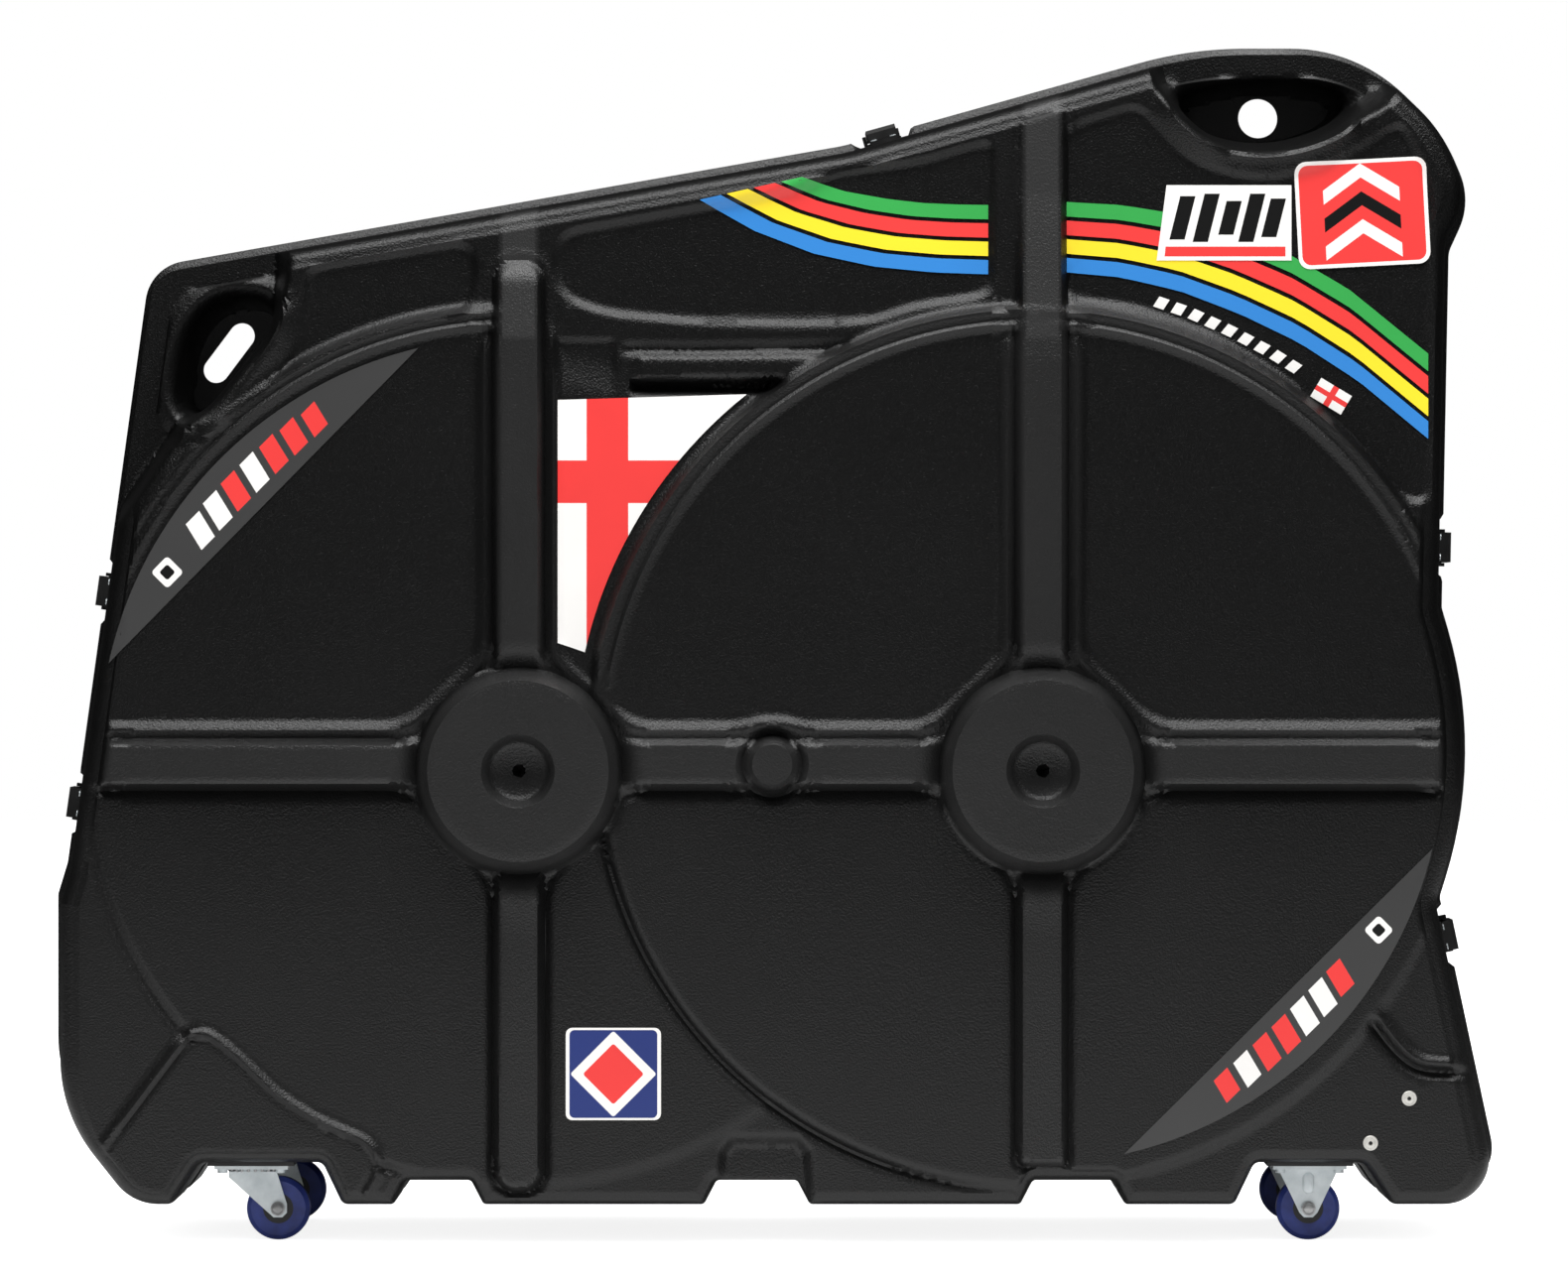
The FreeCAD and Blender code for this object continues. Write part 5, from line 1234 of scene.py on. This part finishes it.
# Small turned and pressed metal: radius and level out from a seat of each ring
RIVET_PROFILE = [(5.9, -2.0), (5.9, 0.5), (5.5, 0.9), (3.9, 1.0), (3.7, 1.7), (2.9, 2.1),
                 (2.0, 2.2), (1.6, 2.0), (1.5, 0.6)]
HEAD_PROFILE = [(5.6, -1.5), (5.6, 0.3), (4.6, 0.5), (4.3, 1.3), (3.4, 1.9), (1.8, 2.2)]
RIB_PROFILE = [(4.6, -0.8), (4.6, 0.1), (4.0, 0.8), (2.6, 1.2)]
TURN_STEPS = 28
FOOT_RIVETS = spots((1420, 1107), (1381, 1152), level=FACE)
CASTER_OUT, FORK_HALF = 105, 12
FORK_RIB_HEIGHT, FORK_RIB_REACH, FORK_RIB_TILT = 45, 4, 90
RACE_RADIUS, RACE_HEIGHT, RACE_COUNT = 19.5, 55.6, 22
BALL_RADIUS, BALL_STEPS, BALL_TILTS = 1.5, 10, range(15, 180, 30)


def lofted(rings, flip=False):
    """Points of all rings, and faces of the closed piece between them: both ends, then row by row."""
    points, count = np.concatenate(rings), len(rings[0])
    faces = [list(range(count))[::-1], list(range(len(points) - count, len(points)))]
    for start in range(0, len(points) - count, count):
        for j in range(count):
            here, ahead = start + j, start + (j + 1) % count
            faces.append([here, ahead, ahead + count, here + count])
    return points, [face[::-1] for face in faces] if flip else faces


def standing(ring, out):
    """Points of a flat ring at one place out from the seam."""
    return np.stack([ring[:, 0], np.full(len(ring), out), ring[:, 1]], 1)


def turned_piece(middle, profile, seat, side):
    """A round piece that stands out from a seat to one side."""
    rings = [standing(circle(middle, radius, TURN_STEPS), side * (seat + out)) for radius, out in profile]
    return lofted(rings, flip=side > 0)


def fork_rib(side):
    """The pressed rib on the outer leg of a fixed fork."""
    rings = []
    for radius, out in RIB_PROFILE:
        ring = obround((FIXED_X, FORK_RIB_HEIGHT), radius, FORK_RIB_REACH, FORK_RIB_TILT, TURN_STEPS)
        rings.append(standing(ring, side * (CASTER_OUT + FORK_HALF + out)))
    return lofted(rings, flip=side > 0)


def race_ball(number, side):
    """One ball of the ring under the top plate of a swivelling caster."""
    turn = 2 * math.pi * number / RACE_COUNT
    middle = (SWIVEL_X + RACE_RADIUS * math.cos(turn), side * CASTER_OUT + RACE_RADIUS * math.sin(turn))
    rings = []
    for tilt in BALL_TILTS:
        ring = circle(middle, BALL_RADIUS * math.sin(math.radians(tilt)), BALL_STEPS)
        height = RACE_HEIGHT + BALL_RADIUS * math.cos(math.radians(tilt))
        rings.append(np.column_stack([ring, np.full(BALL_STEPS, height)]))
    return lofted(rings, flip=True)


def metal(name, pieces, body, materials):
    """One object of several lofted pieces, with the outer end of each in the last material."""
    points, faces, kinds = [], [], []
    for more, sides in pieces:
        faces += [[v + len(points) for v in face] for face in sides]
        kinds += [0, len(materials) - 1] + [0] * (len(sides) - 2)
        points += list(more)
    thing = painted_mesh(name, points, faces, kinds, materials)
    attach(thing, body)
    return thing


for half, side, body in (("front", -1, "lid"), ("rear", 1, "base")):
    rivets = [turned_piece(middle, RIVET_PROFILE, FACE, side) for middle in FOOT_RIVETS]
    # The floor of each rivet's small hole takes a black finish as painted shade
    turned_rivets = metal("turned_rivets_" + half, rivets, body, [rivet_steel, core_black])
    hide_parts("foot_rivets_" + half)
    for hand, fork_body in (("left", "swivel_" + half), ("right", body)):
        low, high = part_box("caster_%s_%s_axle" % (half, hand))
        middle = box_middle(low, high)
        ends = [turned_piece(middle, HEAD_PROFILE, -low.y / MM, -1),
                turned_piece(middle, HEAD_PROFILE, high.y / MM, 1)]
        metal("axle_heads_%s_%s" % (half, hand), ends, fork_body, [head_steel])
    metal("fork_rib_" + half, [fork_rib(side)], body, [zinc])
    metal("ball_race_" + half, [race_ball(number, side) for number in range(RACE_COUNT)], body, [head_steel])

# Foam pads: convoluted foam with a soft edge and an opening round the pole
FOAM_STEP, FOAM_RADIUS, FOAM_BORDER = 8.0, 14, 3.0
FOAM_HOLE, FOAM_HOLE_STEPS = 46, 48
FOAM_PEAK, FOAM_PITCH, FOAM_EDGE, FOAM_EDGE_DROP = 5.0, 48.0, 9.0, 4
FOAM_CLEAR, FOAM_LEAST = 0.5, 2.0


def foam_pad(half, side, body):
    """One pad against the inside of a face: flat at the back, with rows of rounded peaks in front."""
    low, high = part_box("foam_pad_" + half)
    corner_low, corner_high = (low.x / MM, low.z / MM), (high.x / MM, high.z / MM)
    back, thick = max(abs(low.y), abs(high.y)) / MM, (high.y - low.y) / MM
    outline = dense(rounded_box(corner_low, corner_high, FOAM_RADIUS), FOAM_STEP)
    opening = [tuple(point) for point in circle(BOSS, FOAM_HOLE, FOAM_HOLE_STEPS)]
    x, z = grid_places(corner_low, corner_high, FOAM_STEP)
    clear = (edge_distance(x, z, outline) < -FOAM_BORDER) & (edge_distance(x, z, opening) > FOAM_BORDER)
    points = outline + opening
    for line, shift in ((outline, -FOAM_BORDER), (opening, FOAM_BORDER)):
        points += [tuple(point) for point in polygon_ring(line, shift, FOAM_STEP)]
    points += list(zip(x[clear], z[clear]))
    flat, triangles, middles, _ = flat_net(points, loop_edges([outline, opening]), NET_WHOLE)
    kept = edge_distance(middles[:, 0], middles[:, 1], outline) < 0
    kept &= edge_distance(middles[:, 0], middles[:, 1], opening) > 0
    x, z = flat[:, 0], flat[:, 1]
    off = np.minimum(-edge_distance(x, z, outline), edge_distance(x, z, opening))
    peaks = np.cos(2 * math.pi * x / FOAM_PITCH) * np.cos(2 * math.pi * z / FOAM_PITCH)
    front = thick - FOAM_PEAK * (0.5 - 0.5 * peaks) - FOAM_EDGE_DROP * (1 - ease(off / FOAM_EDGE))
    seat = np.minimum(back, surface(x, z) - WALL - FOAM_CLEAR)
    face = np.minimum(back - front, seat - FOAM_LEAST)
    vertices = np.concatenate([np.stack([x, side * face, z], 1), np.stack([x, side * seat, z], 1)])
    faces, _ = closed_sheet(triangles, kept, len(flat), np.zeros(len(triangles), int))
    if side < 0:
        faces = [sheet[::-1] for sheet in faces]
    vertices, faces, _ = compact(vertices, faces, [])
    pad = smooth(make_mesh("convoluted_foam_" + half, vertices, faces))
    pad.data.materials.append(foam_grey)
    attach(pad, body)
    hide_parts("foam_pad_" + half)


foam_pad("front", -1, "lid")
foam_pad("rear", 1, "base")

# Anti-crush pole: a tube with a moulded foot at each end, shaped to the inside of the shell
POLE_STEPS, POLE_TUBE, POLE_CLEAR = 48, 14, 0.5
POLE_CAP = (5, 11, 17, 22, 27, 32, 37, 41, 42)
POLE_FOOT = [(42, 8.0), (40, 9.2), (30, 10.5), (20, 13.0), (16.5, 17.0), (16.5, 24.0), (15.6, 25.0)]
POLE_BODY = [(POLE_TUBE, 25.2), (POLE_TUBE, 60.0), (POLE_TUBE, 110.0)]
POLE_FOOT_ROWS = len(POLE_CAP) + len(POLE_FOOT)


def pole_end(side, end):
    """Rings of half the pole from its end cap inward."""
    rings = []
    for radius in POLE_CAP:
        ring = circle(BOSS, radius, POLE_STEPS)
        level = np.minimum(end, surface(ring[:, 0], ring[:, 1]) - WALL - POLE_CLEAR)
        rings.append(np.stack([ring[:, 0], side * level, ring[:, 1]], 1))
    for radius, short in POLE_FOOT + POLE_BODY:
        rings.append(standing(circle(BOSS, radius, POLE_STEPS), side * (end - short)))
    return rings


def formed_pole():
    """The pole with its two feet, riding on the base half."""
    low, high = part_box("anti_crush_pole")
    rings = pole_end(1, high.y / MM) + pole_end(-1, -low.y / MM)[::-1]
    points, faces = lofted(rings)
    last_row = len(rings) - 2
    kinds = [1, 1]
    for row in range(last_row + 1):
        kinds += [1 if row < POLE_FOOT_ROWS or row > last_row - POLE_FOOT_ROWS else 0] * POLE_STEPS
    pole = painted_mesh("formed_pole", points, faces, kinds, [pole_tube, core_black])
    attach(pole, "base")
    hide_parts("anti_crush_pole")


formed_pole()

# The floor is white to the eye far from the case, and shows in the case's own sheen only near it
FLOOR_HALF = 14 / MM
FLOOR_CORNERS = [(x * FLOOR_HALF, y * FLOOR_HALF, 0) for x, y in ((-1, -1), (1, -1), (1, 1), (-1, 1))]
FLOOR_NEAR, FLOOR_FAR, FLOOR_GLOW = 0.9, 2.6, 0.86
SHEEN_NEAR, SHEEN_FAR, FLOOR_SHEEN = 0.7, 1.9, 0.9
floor = make_mesh("floor", FLOOR_CORNERS, [[0, 1, 2, 3]])
floor_white = material("floor_white", grey(248), roughness=0.9)
floor.data.materials.append(floor_white)
floor_shader = floor_white.node_tree.nodes["Principled BSDF"]
floor_shader.inputs["Specular IOR Level"].default_value = 0.0
floor_shader.inputs["Emission Color"].default_value = (1, 1, 1, 1)
floor_path = node(floor_white, "ShaderNodeLightPath")
floor_place = node(floor_white, "ShaderNodeTexCoord")
far = vector_node(floor_white, "LENGTH", floor_place.outputs["Object"])
glow = ranged(floor_white, far, FLOOR_NEAR, FLOOR_FAR, To_Min=FLOOR_GLOW)
glow = math_node(floor_white, "MULTIPLY", glow, floor_path.outputs["Is Camera Ray"])
link(floor_white, glow, floor_shader.inputs["Emission Strength"])
sheen = ranged(floor_white, far, SHEEN_NEAR, SHEEN_FAR, To_Min=FLOOR_SHEEN - 1, To_Max=-1)
dim = math_node(floor_white, "MULTIPLY_ADD", floor_path.outputs["Is Glossy Ray"], sheen, 1.0)
floor_tone = node(floor_white, "ShaderNodeCombineColor")
for channel in ("Red", "Green", "Blue"):
    link(floor_white, dim, floor_tone.inputs[channel])
link(floor_white, floor_tone.outputs["Color"], floor_shader.inputs["Base Color"])

# One soft light from above and in front
LIGHT_PLACE, LIGHT_AIM = Vector((0.1, -1.1, 3.0)), Vector((0, 0, 0.45))
LIGHT_WIDTH, LIGHT_DEPTH, LIGHT_WATTS = 3.2, 1.2, 105
light_data = bpy.data.lights.new("top_light", "AREA")
light_data.shape = "RECTANGLE"
light_data.size, light_data.size_y = LIGHT_WIDTH, LIGHT_DEPTH
light_data.energy = LIGHT_WATTS
top_light = bpy.data.objects.new("top_light", light_data)
top_light.location = LIGHT_PLACE
top_light.rotation_euler = (LIGHT_AIM - LIGHT_PLACE).to_track_quat("-Z", "Y").to_euler()
scene.collection.objects.link(top_light)

# The room is white to the eye, level for diffuse light and dark in the case's sheen
ROOM_LEVEL, ROOM_SHEEN = 0.54, 0.02
world = bpy.data.worlds.new("white_room")
scene.world = world
world.use_nodes = True
background = world.node_tree.nodes["Background"]
background.inputs["Color"].default_value = (1, 1, 1, 1)
room_path = node(world, "ShaderNodeLightPath")
camera_ray, glossy_ray = room_path.outputs["Is Camera Ray"], room_path.outputs["Is Glossy Ray"]
strength = math_node(world, "MULTIPLY_ADD", camera_ray, 1 - ROOM_LEVEL, ROOM_LEVEL)
strength = math_node(world, "MULTIPLY_ADD", glossy_ray, ROOM_SHEEN - ROOM_LEVEL, strength)
link(world, strength, background.inputs["Strength"])

# Camera
SENSOR_WIDTH, CLIP_END = 36, 100
camera_data = bpy.data.cameras.new("camera")
camera_data.sensor_width = SENSOR_WIDTH
camera_data.lens = SENSOR_WIDTH * CAMERA_DISTANCE / (SEAM_SCALE * PICTURE_WIDTH)
camera_data.clip_end = CLIP_END
camera = bpy.data.objects.new("camera", camera_data)
camera.location = (CAMERA_X * MM, -CAMERA_DISTANCE * MM, CAMERA_Z * MM)
camera.rotation_euler = (math.radians(90), 0, 0)
scene.collection.objects.link(camera)
scene.camera = camera
scene.view_settings.view_transform = "Standard"
